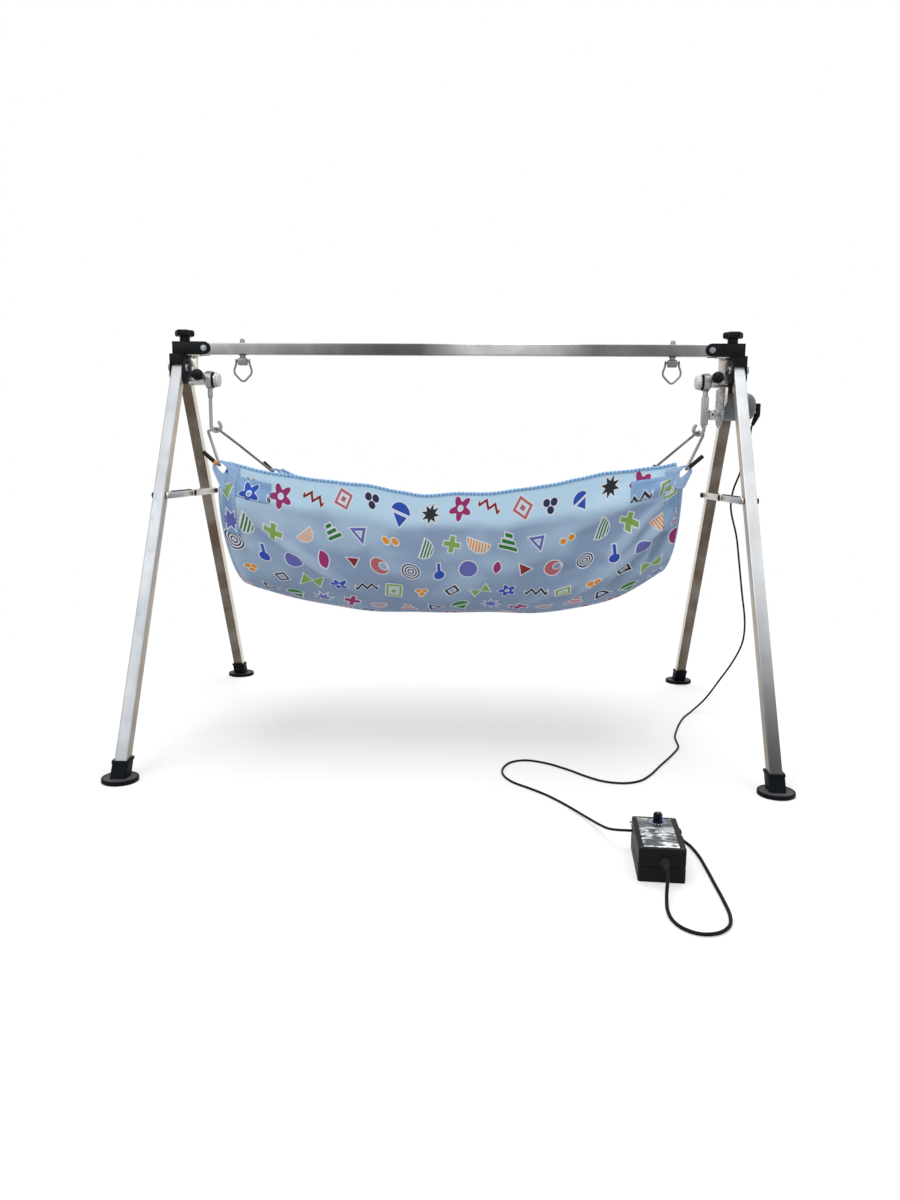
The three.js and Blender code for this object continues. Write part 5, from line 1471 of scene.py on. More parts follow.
# Folds that fan out from each corner: their direction below the hem in degrees, width in degrees and height.
FOLDS = ((12, 5, 2.2), (24, 6, -2.4), (38, 7, 3.4), (52, 6, -2.6), (66, 7, 4.2), (80, 5, -3.0))

# The fans' rise and reach, and the distance round the bed between the hems, in metres.
FAN_RISE, FAN_REACH, FAN_SPAN = 0.06, 0.2, 0.62


def crease_height(along, around):
    """The height of the single folds at a place of the front."""
    width_flat = settings().cloth.flat_width
    height = 0.0
    for along0, around0, along1, around1, tall, wide in CREASES:
        run, drop = (along1 - along0) * CLOTH_END_X, (around1 - around0) * width_flat
        x, y = (along - along0) * CLOTH_END_X, (around - around0) * width_flat
        length = math.hypot(run, drop)
        share = (x * run + y * drop) / length**2
        if not -0.1 < share < 1.2:
            continue
        aside = (x * drop - y * run) / length * math.copysign(1, run)
        reach = wide * MM * (0.6 if aside < 0 else 1.3)
        taper = eased(share, -0.1, 0.12) * (1 - eased(share, 0.35, 1.2))
        height += tall * MM * taper * math.exp(-((aside / reach) ** 2))
    return height


def fold_height(along, around):
    """How far the cloth stands out of its smooth form."""
    height = crease_height(along, around) if around < 0.5 else crease_height(-along, 1 - around)
    for end in (-1, 1):
        for edge in (0, 1):
            inward = (1 - along * end) * CLOTH_END_X
            down = abs(around - edge) * FAN_SPAN
            reach = math.hypot(inward, down)
            angle = math.degrees(math.atan2(down, inward)) + 3 * math.sin(reach * 17 + end + edge)
            fade = min(1.0, reach / FAN_RISE) * math.exp(-((reach / FAN_REACH) ** 2))
            for direction, width, tall in FOLDS:
                height += tall * MM * fade * math.exp(-(((angle - direction - 4 * end) / width) ** 2))
    broad = math.sin(along * 7.3 + around * 9.1) + 0.6 * math.sin(along * 15.7 - around * 13.3 + 1.3)
    pucker = math.sin(along * 113) * math.exp(-min(around, 1 - around) / 0.018)
    return height + 1.5 * MM * broad * math.sin(math.pi * around) + 0.5 * MM * pucker


def cloth_normal(along, around):
    """The direction out of the bed at a point."""
    step = 0.004
    before, after = max(around - step, 0), min(around + step, 1)
    left, right = max(along - step, -1), min(along + step, 1)
    down = cloth_point(along, after) - cloth_point(along, before)
    across = cloth_point(right, around) - cloth_point(left, around)
    return down.cross(across).normalized()


def on_cloth(along, around, offset=0.0):
    """A point of the folded cloth, at an offset outwards."""
    normal = cloth_normal(along, around)
    return cloth_point(along, around) + normal * (fold_height(along, around) + offset)


def cloth_patch(spans, steps, offset, cut=None):
    """A stretch of the bed's surface, with a UV map in metres of flat cloth.

    Cut is how much of each corner is cut off, as shares of the stretch along and around.
    """
    (along0, along1), (around0, around1) = spans
    bm = bmesh.new()
    bmesh.ops.create_grid(bm, x_segments=steps[0], y_segments=steps[1], size=0.5, calc_uvs=True)
    for sx, sy in ((-1, -1), (1, -1), (1, 1), (-1, 1)) if cut else ():
        bmesh.ops.bisect_plane(
            bm, geom=bm.verts[:] + bm.edges[:] + bm.faces[:], plane_co=(sx * (0.5 - cut[0]), sy * 0.5, 0),
            plane_no=(sx * cut[1], sy * cut[0], 0), clear_outer=True,
        )
    chart = bm.loops.layers.uv.verify()
    s = settings().cloth
    # The fold height is kept on each vertex for the cloth's painted highlight and painted shade.
    fold = bm.verts.layers.float.new("fold")
    places = {}
    for vert in bm.verts:
        along = along0 + (along1 - along0) * (vert.co.x + 0.5)
        around = around0 + (around1 - around0) * (vert.co.y + 0.5)
        places[vert] = (along * s.flat_length / 2, around * s.flat_width)
        vert.co = on_cloth(along, around, offset)
        vert[fold] = fold_height(along, around) / FOLD_FULL
    for face in bm.faces:
        for loop in face.loops:
            loop[chart].uv = places[loop.vert]
    bm.normal_update()
    return bm


def walled(obj, thickness):
    """Gives a sheet its thickness."""
    wall = obj.modifiers.new("thickness", "SOLIDIFY")
    wall.thickness = thickness
    wall.offset = 0.0
    wall.use_even_offset = True
    return obj


# The sewn strips, as shares of the half length along the bar and of the width round the bed.
STRIP_LONG, STRIP_BROAD, STRIP_END = 0.22, 0.075, 0.985
STRIP_TALL, STRIP_WIDE, STRIP_START = 0.044, 0.145, 0.022
CORNER_CUT = (0.031, 0.06)

# An ear at a corner of the cloth in millimetres from the wire, outwards and up: its outline and its hole.
EAR_EDGE = (
    (8, 8), (-4, 8), (-17, 5), (-36, -4), (-29, -24), (-15, -42), (-3, -40), (6, -20), (12, -5),
)
EAR_HOLE = (
    (4, 4.0), (-2.5, 4.4), (-8, 0.5), (-14, -7), (-15.5, -13), (-11.5, -17), (-6, -12.5), (0, -7.5),
    (4.5, -1.5),
)


class CRADLE_OT_cloth(bpy.types.Operator):
    """Builds the cloth bed with its hems, sewn strips, corner loops and stitches"""

    bl_idname = "cradle.cloth"
    bl_label = "Cloth Bed"

    def execute(self, context):
        s = settings().cloth
        cut = (CORNER_CUT[0] / 2, CORNER_CUT[1])
        bm = cloth_patch(((-1, 1), (0, 1)), (s.columns, s.rows), 0.0, cut)
        bed = walled(piece("bed_cloth", "swing", [(bm, "cloth")], ["cloth_bed"], sharp=80), s.thickness)
        trims = [*self.hems(), *self.strips(), *self.ears()]
        return {"FINISHED"}

    def hems(self):
        """The rolled hems with their whipping, and the narrow hems of the two ends."""
        made = []
        span = 1 - CORNER_CUT[0]
        count, turns, per_turn = 240, 112, 12
        steps = turns * per_turn
        for name, around in (("front_hem", 0.0), ("back_hem", 1.0)):
            line = [on_cloth(span * (2 * i / count - 1), around) for i in range(count + 1)]
            helix = []
            for i in range(steps + 1):
                angle = 2 * math.pi * i / per_turn
                place = on_cloth(span * (2 * (i / steps) - 1), around)
                helix.append(place + Vector((0, math.cos(angle), math.sin(angle))) * 2.6 * MM)
            shapes = [(wire(line, 2.5 * MM), "hem"), (wire(helix, 1.1 * MM, sides=1), "whip")]
            made.append(piece(name, "swing", shapes, slot="cloth"))
        count, inset = 120, CORNER_CUT[1]
        ends = []
        for end in (-1, 1):
            line = [on_cloth(end, inset + (1 - 2 * inset) * i / count) for i in range(count + 1)]
            ends.append((wire(line, 1.3 * MM, sides=2), "plain"))
        made.append(piece("end_hems", "swing", ends, slot="cloth"))
        return made

    def strips(self):
        """A level and an upright strip sewn on below each corner."""
        made = []
        offset = settings().cloth.thickness / 2 + 0.5 * MM
        for end_name, end in SIDES:
            for edge_name, edge in (("front", 0), ("back", 1)):
                level = sorted((end * (1 - STRIP_LONG), end * STRIP_END))
                level_around = sorted(abs(edge - STRIP_START - tall) for tall in (0, STRIP_TALL))
                upright = sorted((end * (1 - STRIP_BROAD), end * STRIP_END))
                upright_around = sorted(abs(edge - STRIP_START - tall) for tall in (0, STRIP_WIDE))
                shapes = [
                    (cloth_patch((level, level_around), (40, 8), offset), "strip"),
                    (cloth_patch((upright, upright_around), (10, 34), offset + 0.3 * MM), "strip"),
                ]
                name = f"{end_name}_{edge_name}_strip"
                made.append(walled(piece(name, "swing", shapes, slot="cloth", sharp=80), 0.7 * MM))
                seams = self.seams(level, level_around, offset + 0.55 * MM)
                seams += self.seams(upright, upright_around, offset + 0.85 * MM)
                (left, right), (top, foot) = upright, level_around
                for start, stop in (((left, top), (right, foot)), ((left, foot), (right, top))):
                    seams += self.dashes(start, stop, offset + 0.9 * MM)
                stitches = [(bm, "stitch") for bm in seams]
                made.append(piece(f"{name}_stitches", "swing", stitches, slot="cloth"))
        return made

    def seams(self, along, around, offset):
        """Stitches round a strip, a little inside its edge."""
        inset_x, inset_y = 0.006, 0.004
        left, right = along[0] + inset_x, along[1] - inset_x
        top, foot = around[0] + inset_y, around[1] - inset_y
        corners = [(left, top), (right, top), (right, foot), (left, foot)]
        made = []
        for start, end in zip(corners, corners[1:] + corners[:1]):
            made += self.dashes(start, end, offset)
        return made

    def dashes(self, start, end, offset):
        """A row of stitches between two places on the cloth."""
        length = (on_cloth(*start) - on_cloth(*end)).length
        count = max(2, int(length / (4.5 * MM)))
        made = []
        for i in range(count):
            spots = []
            for part in (0.1, 0.4, 0.7):
                share = (i + part) / count
                place = [a + (b - a) * share for a, b in zip(start, end)]
                spots.append(on_cloth(*place, offset))
            made.append(wire(spots, 0.4 * MM, sides=1))
        return made

    def ears(self):
        """The ears at the corners: each is a gathered flap of cloth with a hole that hangs on the wire."""
        made = []
        for end_name, sx in SIDES:
            for edge_name, sy in ENDS:
                centre = Vector((sx * CORNER_X, sy * (CORNER_Y + 0.6 * MM), CORNER_LEVEL[sy]))
                bm = bmesh.new()
                rims = []
                for loop, bulge in ((EAR_EDGE, 0.0), (EAR_HOLE, 1.6)):
                    verts = []
                    for i, (out, up) in enumerate(loop):
                        aside = bulge + 1.1 * math.sin(2.4 * i + sx)
                        tight = 0.78 if sx > 0 and (loop is EAR_HOLE or out > -20) else 1.0
                        spot = centre + Vector((sx * out * tight, sy * aside, up * tight)) * MM
                        verts.append(bm.verts.new(spot))
                    rims.append([bm.edges.new(pair) for pair in zip(verts, verts[1:] + verts[:1])])
                bmesh.ops.bridge_loops(bm, edges=rims[0] + rims[1])
                bmesh.ops.subdivide_edges(bm, edges=bm.edges[:], cuts=2, use_grid_fill=True)
                for vert in bm.verts:
                    reach = vert.co - centre
                    vert.co.y += sy * 0.7 * MM * math.sin((reach.x * sx * 0.7 - reach.z) / MM * 0.62)
                bmesh.ops.recalc_face_normals(bm, faces=bm.faces[:])
                name = f"{end_name}_{edge_name}_ear"
                ear = walled(piece(name, "swing", [(bm, "plain")], slot="cloth", sharp=80), 2.0 * MM)
                softer = ear.modifiers.new("softer", "SUBSURF")
                softer.levels = softer.render_levels = 2
                made.append(ear)
        return made


# Fittings under the bar


class CRADLE_OT_toy_hooks(bpy.types.Operator):
    """Builds the toy hooks on the bar and their wire rings"""

    bl_idname = "cradle.toy_hooks"
    bl_label = "Toy Hooks"

    def execute(self, context):
        for side, _ in SIDES:
            self.build_hook(side)
            self.build_ring(side)
        return {"FINISHED"}

    def build_hook(self, side):
        lo, hi = low("right_toy_hook"), high("right_toy_hook")
        under, over = low("top_bar").z, high("top_bar").z
        at = lambda z: ((lo.x + hi.x) / 2, 0, z)
        nut = [
            (0, 0), (4.5 * MM, 0), (4.5 * MM, 3.4 * MM), (3.9 * MM, 5.4 * MM), (2.4 * MM, 7.2 * MM),
            (0, 8 * MM),
        ]
        shapes = [
            (bar(lo, (hi.x, hi.y, under - 6 * MM), 2.2 * MM, 3), "ring"),
            (rod(at(under - 8 * MM), at(under - 2 * MM), 5 * MM), "ring"),
            (rod(at(under - 2.2 * MM), at(under - 0.3 * MM), 6.2 * MM, 0.6 * MM), "ring"),
            (rod(at(under), at(over + 3 * MM), 2.5 * MM), "bright"),
            (rod(at(over + 0.3 * MM), at(over + 1.2 * MM), 5.4 * MM), "bright"),
            (turning(nut, at(over + 1.2 * MM), (0, 0, 1), 24), "zinc"),
        ]
        paired(side, "toy_hook_set", "stand", shapes, "toy_hook")

    def build_ring(self, side):
        x, pin = middle("right_toy_hook").x, joint_place("right_toy_ring_swing").z
        half = [(12, 0), (12, -5), (17.6, -21)]
        corners = [*((-out, down) for out, down in half), (0, -39), *reversed(half)]
        start = Vector((x, 0, pin))
        ring_points = [start + Vector((out, 0, down)) * MM for out, down in corners]
        line = bent([start, *ring_points, start - Vector((0.01 * MM, 0, 0))], 8 * MM, 8)
        ring = [(wire(line, 1.9 * MM, sides=4), "ring")]
        for way in (-1, 1):
            near, far = ((x + way * out * MM, 0, pin) for out in (11, 13.4))
            ring.append((rod(near, far, 3.4 * MM, 0.8 * MM, 0.8 * MM), "ring"))
        paired(side, "toy_ring_wire", f"{side}_toy_ring", ring, "toy_ring")


# The two ends of the ribbed tail of the motor lead's plug. The lead starts at the tail.
PLUG_TAIL = Vector((535 * MM, 0, 561 * MM))
PLUG_NECK = Vector((542 * MM, 0, 578 * MM))


class CRADLE_OT_motor(bpy.types.Operator):
    """Builds the motor plate, the gear motor, the crank and the plug of its lead"""

    bl_idname = "cradle.motor"
    bl_label = "Motor Drive"

    def execute(self, context):
        self.build_plate()
        self.build_motor()
        self.build_crank()
        self.build_plug()
        return {"FINISHED"}

    def build_plate(self):
        lo, hi = low("motor_plate"), high("motor_plate")
        half, thick = 30 * MM, 2 * MM
        outline = [(half, hi.z), (-half, hi.z), *arc((0, lo.z + half), half, 180, 360, 28)]
        flange = [(lo.x, 586 * MM), (hi.x, 600 * MM), (hi.x, hi.z), (lo.x, hi.z)]
        shapes = [
            (plate(outline, "X", lo.x, lo.x + thick, 0.4 * MM), "galvanised"),
            (plate(flange, "Y", -half, thick - half), "plate"),
        ]
        for y, z in ((-20, 606), (-22, 578), (14, 566), (20, 604)):
            base, tip = ((x, y * MM, z * MM) for x in (lo.x + 0.5 * MM, lo.x - 1.6 * MM))
            shapes.append((rod(base, tip, 2.9 * MM, 0.1 * MM, 0.8 * MM), "bright"))
        piece("motor_plate_sheet", "stand", shapes, ["motor_plate"])

    def build_motor(self):
        lo, hi = low("gear_motor"), high("gear_motor")
        level = middle("gear_motor").z
        r = 24.6 * MM
        length = hi.x - lo.x
        profile = [
            (0, 0), (r - 0.8 * MM, 0), (r, 0.8 * MM), (r, 21 * MM), (r - 0.7 * MM, 21.6 * MM),
            (r - 0.7 * MM, 23 * MM), (r, 23.6 * MM), (r, length - 14 * MM), (r - 1.6 * MM, length - 8 * MM),
            (r - 5 * MM, length - 3.4 * MM), (r - 9.6 * MM, length - 0.8 * MM), (r - 12 * MM, length),
            (0, length),
        ]
        shapes = [(turning(profile, (lo.x, 0, level), (1, 0, 0), 72), "motor")]
        for turn in (40, 130, 220, 310):
            y, up = (15.6 * MM * f(math.radians(turn)) for f in (math.cos, math.sin))
            base, tip = ((x, y, level + up) for x in (hi.x - 3.2 * MM, hi.x - 0.4 * MM))
            shapes.append((rod(base, tip, 2.0 * MM, 0.1 * MM, 0.5 * MM, 20), "bright"))
        piece("gear_motor_case", "stand", shapes, ["gear_motor"])

    def build_crank(self):
        lo, hi = low("crank"), high("crank")
        level = middle("crank").z
        at = lambda x, y=0.0, up=0.0: (lo.x + x * MM, y * MM, level + up * MM)
        shapes = [
            (rod(at(1.9), at(12.4), 9.5 * MM, 1.0 * MM, 1.0 * MM, 48), "bright"),
            (rod(at(12), (hi.x, 0, level), 3 * MM), "bright"),
            (rod(at(0, 0, 6), at(4, 0, 6), 2.5 * MM), "bright"),
            (rod(at(7, -9.9), at(7, -7), 2 * MM, 0.5 * MM), "coat"),
        ]
        piece("crank_set", "crank", shapes, ["crank"])

    def build_plug(self):
        lo, hi = low("motor_lead_plug"), high("motor_lead_plug")
        x, level = PLUG_NECK.x, middle("gear_motor").z
        shapes = [
            (rod((x, 0, PLUG_NECK.z - 1 * MM), (x, 0, hi.z), 5.6 * MM, 0.5 * MM, 1.6 * MM), "plug"),
            (rod((lo.x + 4.2 * MM, 0, level), (x, 0, level), 4 * MM), "plug"),
        ]
        along = PLUG_TAIL - PLUG_NECK
        ribs = 6
        profile = [(0, 0), (5.5 * MM, 0)]
        for i in range(ribs):
            share = (i + 0.5) / ribs
            here, radius = along.length * share, 5.5 * MM - 2.2 * MM * share
            rib = ((0, -1), (0, 0.4), (0.7, 0.8))
            profile += [(radius - less * MM, here + along_rib * MM) for less, along_rib in rib]
        profile += [(2.9 * MM, along.length), (0, along.length)]
        shapes.append((turning(profile, PLUG_NECK, along, 28), "plug"))
        piece("motor_plug_body", "stand", shapes, ["motor_lead_plug"])


# Control box

BOX_CENTRE = Vector((275.5 * MM, -624 * MM, 0))
BOX_TURN = math.radians(-4)
BOX_WIDTH, BOX_DEPTH, BOX_HEIGHT = 56 * MM, 103 * MM, 42 * MM
BOX_SEAM = 19 * MM
DIAL_X, DIAL_Y = 3 * MM, 34 * MM
LEAD_ENTRY = (46 * MM, 24 * MM)
RELIEF_X, RELIEF_LEVEL, RELIEF_LENGTH = 3 * MM, 25 * MM, 22 * MM


def box_frame():
    return Matrix.Translation(BOX_CENTRE) @ Matrix.Rotation(BOX_TURN, 4, "Z")


class CRADLE_OT_control_box(bpy.types.Operator):
    """Builds the speed control box with its dial, foil plate and strain relief"""

    bl_idname = "cradle.control_box"
    bl_label = "Control Box"

    def execute(self, context):
        top = BOX_HEIGHT
        half_x, half_y, lap = BOX_WIDTH / 2, BOX_DEPTH / 2, 0.7 * MM
        outline = rounded_outline(half_x, half_y, 3.2 * MM, 6)
        step = rounded_outline(half_x - lap, half_y - lap, 2.8 * MM, 6)
        base = [
            (plate(outline, "Z", 0, BOX_SEAM - 0.5 * MM, 0.9 * MM, 3), "box"),
            (plate(step, "Z", BOX_SEAM - 1.5 * MM, BOX_SEAM + 0.2 * MM, 0), "box"),
        ]
        self.place("box_base_shell", "stand", base, "box_base")
        lid = [(plate(outline, "Z", BOX_SEAM + 0.4 * MM, top, 1.3 * MM, 4), "box")]
        for sx, sy in ((-1, -1), (1, -1), (-1, 1), (1, 1)):
            spot = (sx * (half_x - 4.4 * MM), sy * (half_y - 4.4 * MM))
            screw = rod((*spot, top - 0.5 * MM), (*spot, top + 0.05 * MM), 1.7 * MM, 0.1 * MM, 0.1 * MM, 20)
            lid.append((screw, "foot_top"))
        foil = bar((-22 * MM, -46 * MM, top - 0.2 * MM), (20.5 * MM, 46 * MM, top + 0.15 * MM), 0.1 * MM)
        self.place("box_lid_shell", "stand", [*lid, (foil, "foil"), *self.ticks(top)], "box_lid")
        self.place("dial_knob", "speed_dial", self.dial(top), "speed_dial")
        self.place("relief_boot", "stand", self.relief(), "strain_relief")
        board = [
            (bar((-22 * MM, -44 * MM, 8 * MM), (22 * MM, 44 * MM, 9.6 * MM), 0.1 * MM), "board"),
            (bar((-12 * MM, -30 * MM, 9 * MM), (12 * MM, 0, 29 * MM), 1 * MM), "orange"),
        ]
        self.place("board_and_coil", "stand", board, "circuit_board")
        return {"FINISHED"}

    def place(self, name, body, shapes, node):
        """A piece of the box, from shapes modelled upright at the origin."""
        return piece(name, body, [(moved(bm, box_frame()), finish) for bm, finish in shapes], [node])

    def ticks(self, top):
        """Short radial marks round the dial, open at the back."""
        made = []
        count, start, sweep = 13, 130, 280
        half = 0.65 * MM
        for i in range(count):
            angle = math.radians(start + sweep * i / (count - 1))
            inner, outer = 7.8 * MM, (11.8 if i % 3 == 0 else 10.8) * MM
            bm = bar((inner, -half, top + 0.1 * MM), (outer, half, top + 0.35 * MM), 0)
            turn = Matrix.Translation((DIAL_X, DIAL_Y, 0)) @ Matrix.Rotation(angle, 4, "Z")
            made.append((moved(bm, turn), "ticks"))
        return made

    def dial(self, top):
        foot = top + 0.3 * MM
        base = (DIAL_X, DIAL_Y, foot)
        profile = [
            (0, 0), (6.1 * MM, 0), (6.1 * MM, 1.0 * MM), (5.5 * MM, 1.6 * MM), (5.1 * MM, 11.2 * MM),
            (4.4 * MM, 12 * MM), (0, 12 * MM),
        ]
        shapes = [
            (turning(profile, base, (0, 0, 1), 48), "knob"),
            (rod((DIAL_X, DIAL_Y, foot - 8 * MM), base, 3 * MM), "bright"),
        ]
        ribs, reach = 18, 5.2 * MM
        for i in range(ribs):
            angle = 2 * math.pi * i / ribs
            x, y = DIAL_X + reach * math.cos(angle), DIAL_Y + reach * math.sin(angle)
            rib = rod((x, y, foot + 1.8 * MM), (x, y, foot + 10.4 * MM), 0.55 * MM, 0.2 * MM, 0.2 * MM, 8)
            shapes.append((rib, "dial_blue" if i >= 15 or i == 0 else "knob"))
        half = 0.5 * MM
        near = (DIAL_X - half, DIAL_Y, foot + 11.9 * MM)
        far = (DIAL_X + half, DIAL_Y + 4.2 * MM, foot + 12.1 * MM)
        return [*shapes, (bar(near, far, 0), "ticks")]

    def relief(self):
        """The ribbed boot where the mains lead leaves the box."""
        length = RELIEF_LENGTH
        profile = [
            (0, -1.5 * MM), (3.6 * MM, -1.5 * MM), (3.6 * MM, 0), (6.2 * MM, 0), (6.2 * MM, 2.0 * MM),
            (5.4 * MM, 2.4 * MM),
        ]
        ribs = 6
        for i in range(ribs):
            here = 3 * MM + (length - 5 * MM) * i / ribs
            radius = 5.1 * MM - 2.0 * MM * i / ribs
            rib = ((0, 0), (0.1, 1.7), (1.0, 2.0), (1.0, 2.9))
            profile += [(radius - less * MM, here + along * MM) for less, along in rib]
        profile += [(3.0 * MM, length - 1.2 * MM), (2.9 * MM, length), (0, length)]
        base = (RELIEF_X, -BOX_DEPTH / 2 - 0.3 * MM, RELIEF_LEVEL)
        return [(turning(profile, base, (0, -1, 0), 36), "relief")]


# Leads

# Low-voltage lead, between the tail of the motor plug and the box's left wall.
LEAD_ROUTE_MM = (
    (531.5, 4, 535), (524, 26, 475), (517.5, 42, 442), (518.5, 56, 410), (538, 78, 353), (548, 90, 308),
    (559, 100, 249), (571, 108, 179), (569, 112, 140), (554, 115, 103), (529, 118, 62), (502, 116, 24),
    (474, 98, 4.5), (452, 62, 2.2), (432, 12, 2.2), (414, -45, 2.2), (405, -80, 2.2), (402, -112, 2.2),
    (399, -140, 2.2), (381, -182, 2.2), (348, -246, 2.2), (322, -296, 2.2), (302, -322, 2.2),
    (277, -333, 2.2), (248, -327, 2.2), (224, -307, 2.2), (196, -274, 2.2), (161, -242, 2.2),
    (129, -230, 2.2), (106, -241, 2.2), (92, -271, 2.2), (91, -305, 2.2), (105, -338, 2.2), (131, -366, 2.2),
    (155, -394, 2.2), (180, -433, 2.2), (202, -479, 4), (217, -521, 9), (226, -552, 16), (236, -569, 21.5),
)

# Mains lead, between the strain relief and the coil behind the box.
MAINS_ROUTE_MM = (
    (271, -714, 19), (268.5, -724, 10.5), (266.5, -736, 4.2), (265, -750, 2.4), (266, -772, 2.4),
    (274, -790, 2.4), (290, -801, 2.4), (309, -798, 2.4), (324, -783, 2.4), (331, -760, 2.4),
    (333, -720, 2.4), (333, -680, 2.4), (333, -640, 2.4), (332, -600, 2.4), (328, -570, 2.4),
)
COIL_CENTRE = (293 * MM, -539 * MM)
COIL_RADIUS, COIL_PITCH = 29.3 * MM, 4.7 * MM
COIL_IN, COIL_OUT, COIL_CLIMB = 2.5, 2.4, 0.3
PLUG_TURN = 16.5 * MM


def eased(value, start, end):
    """Rises smoothly from 0 at start to 1 at end."""
    t = min(max((value - start) / (end - start), 0.0), 1.0)
    return t * t * (3 - 2 * t)


def coil_points(radius):
    """The coil behind the box: in on the lower layer, out on the upper one, then up to the plug."""
    layer = radius + 0.3 * MM
    turns = COIL_IN + COIL_OUT
    per_turn = 48
    line = [Vector((COIL_CENTRE[0] + COIL_RADIUS, COIL_CENTRE[1] - 2 * radius, layer))]
    count = round(turns * per_turn)
    for i in range(count + 1):
        turn = i / per_turn
        reach = COIL_RADIUS - COIL_PITCH * (COIL_IN - abs(COIL_IN - turn))
        climb = eased(turn, COIL_IN - 0.25, COIL_IN + 0.25) + eased(turn, turns - COIL_CLIMB, turns)
        angle = 2 * math.pi * turn
        x, y = COIL_CENTRE[0] + reach * math.cos(angle), COIL_CENTRE[1] + reach * math.sin(angle)
        line.append(Vector((x, y, layer + COIL_PITCH * climb)))
    heading = 2 * math.pi * ((count / per_turn) % 1)
    end = line[-1].copy()
    centre = end - Vector((math.cos(heading), math.sin(heading), 0)) * PLUG_TURN
    sweep = math.pi / 2 + 2 * math.pi - heading
    level = layer + COIL_PITCH + radius + 0.6 * MM + 5.5 * MM
    steps = 16
    for i in range(1, steps + 1):
        angle = heading + sweep * i / steps
        point = centre + Vector((math.cos(angle), math.sin(angle), 0)) * PLUG_TURN
        point.z = end.z + (level - end.z) * eased(i, 0, steps)
        line.append(point)
    return [*line, line[-1] - Vector((2 * radius, 0, 0))]


def cord_curve(name, line, diameter):
    """A cord as a curve of one open spline with its thickness."""
    curve = round_curve(name, line, diameter / 2, 4)
    curve.materials.append(finishes()["cord"])
    obj = bpy.data.objects.new(name, curve)
    bpy.context.scene.collection.objects.link(obj)
    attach(obj, "stand")
    return obj


def line_length(line):
    return sum((b - a).length for a, b in zip(line, line[1:]))


class CRADLE_OT_leads(bpy.types.Operator):
    """Builds the low-voltage lead, the mains lead with its coil, and the mains plug"""

    bl_idname = "cradle.leads"
    bl_label = "Leads"

    def execute(self, context):
        s = settings().cord
        self.build_motor_lead(s.lead_diameter)
        self.build_mains_lead(s.mains_diameter)
        return {"FINISHED"}

    def build_motor_lead(self, diameter):
        along = (PLUG_TAIL - PLUG_NECK).normalized()
        start = [PLUG_TAIL + along * 0.3 * MM, PLUG_TAIL + along * diameter]
        wall = -BOX_WIDTH / 2
        entry_x = (wall - 2 * diameter, wall - diameter / 2, wall + 2 * MM)
        entry = [box_frame() @ Vector((x, *LEAD_ENTRY)) for x in entry_x]
        line = smooth([*start, *(Vector(p) * MM for p in LEAD_ROUTE_MM), *entry], 8)
        lead = cord_curve("motor_lead_cord", line, diameter)
        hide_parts("motor_lead")
        line_length(line)

    def build_mains_lead(self, diameter):
        tip = -BOX_DEPTH / 2 - 0.3 * MM - RELIEF_LENGTH
        start = [box_frame() @ Vector((RELIEF_X, tip - step, RELIEF_LEVEL)) for step in (0.3 * MM, diameter)]
        coil = coil_points(diameter / 2)
        join = coil[0] - Vector((0, 2 * diameter, 0))
        line = smooth([*start, *(Vector(p) * MM for p in MAINS_ROUTE_MM), join, coil[0]], 8)[:-1] + coil
        lead = cord_curve("mains_lead_cord", line, diameter)
        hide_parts("mains_lead", "mains_coil")
        plug = self.build_mains_plug(line[-1])
        tie = self.build_tie()
        line_length(line)

    def build_mains_plug(self, end):
        lo, hi = low("mains_plug"), high("mains_plug")
        nose = hi.x - 26 * MM
        boot = [(0, 0), (4.2 * MM, 0), (5.2 * MM, 2 * MM), (5.4 * MM, 7 * MM), (0, 7 * MM)]
        near = (nose - 0.1 * MM, lo.y + 2 * MM, lo.z + 1.6 * MM)
        far = (nose + 2 * MM, hi.y - 2 * MM, hi.z - 1.6 * MM)
        shapes = [
            (bar((nose, lo.y, lo.z), (hi.x - 5 * MM, hi.y, hi.z), 2.4 * MM, 4), "plug"),
            (turning(boot, (hi.x, end.y, end.z), (-1, 0, 0), 28), "plug"),
            (bar(near, far, 0.4 * MM), "plug"),
        ]
        for side in (-1, 1):
            y = end.y + side * 6 * MM
            pin = rod((nose + 2 * MM, y, end.z), (lo.x, y, end.z), 2 * MM, 0.2 * MM, 0.9 * MM, 24)
            shapes.append((pin, "bright"))
        return piece("mains_plug_body", "stand", shapes, ["mains_plug"])

    def build_tie(self):
        """The wire tie that holds the coil together."""
        x, y = COIL_CENTRE[0] - 23.5 * MM, COIL_CENTRE[1]
        bend = 2 * MM
        left, right = x - 8.6 * MM + bend, x + 8.6 * MM - bend
        bottom, top = 2.3 * MM, 7.8 * MM
        corners = ((left, bottom, 180), (right, bottom, 270), (right, top, 0), (left, top, 90))
        line = []
        for across, level, start in corners:
            line += [(px, y, pz) for px, pz in arc((across, level), bend, start, start + 90, 5)]
        loop = wire(line, 0.5 * MM, cyclic=True, sides=2)
        return piece("coil_tie", "stand", [(loop, "sleeve")], slot="cord")


# Stage


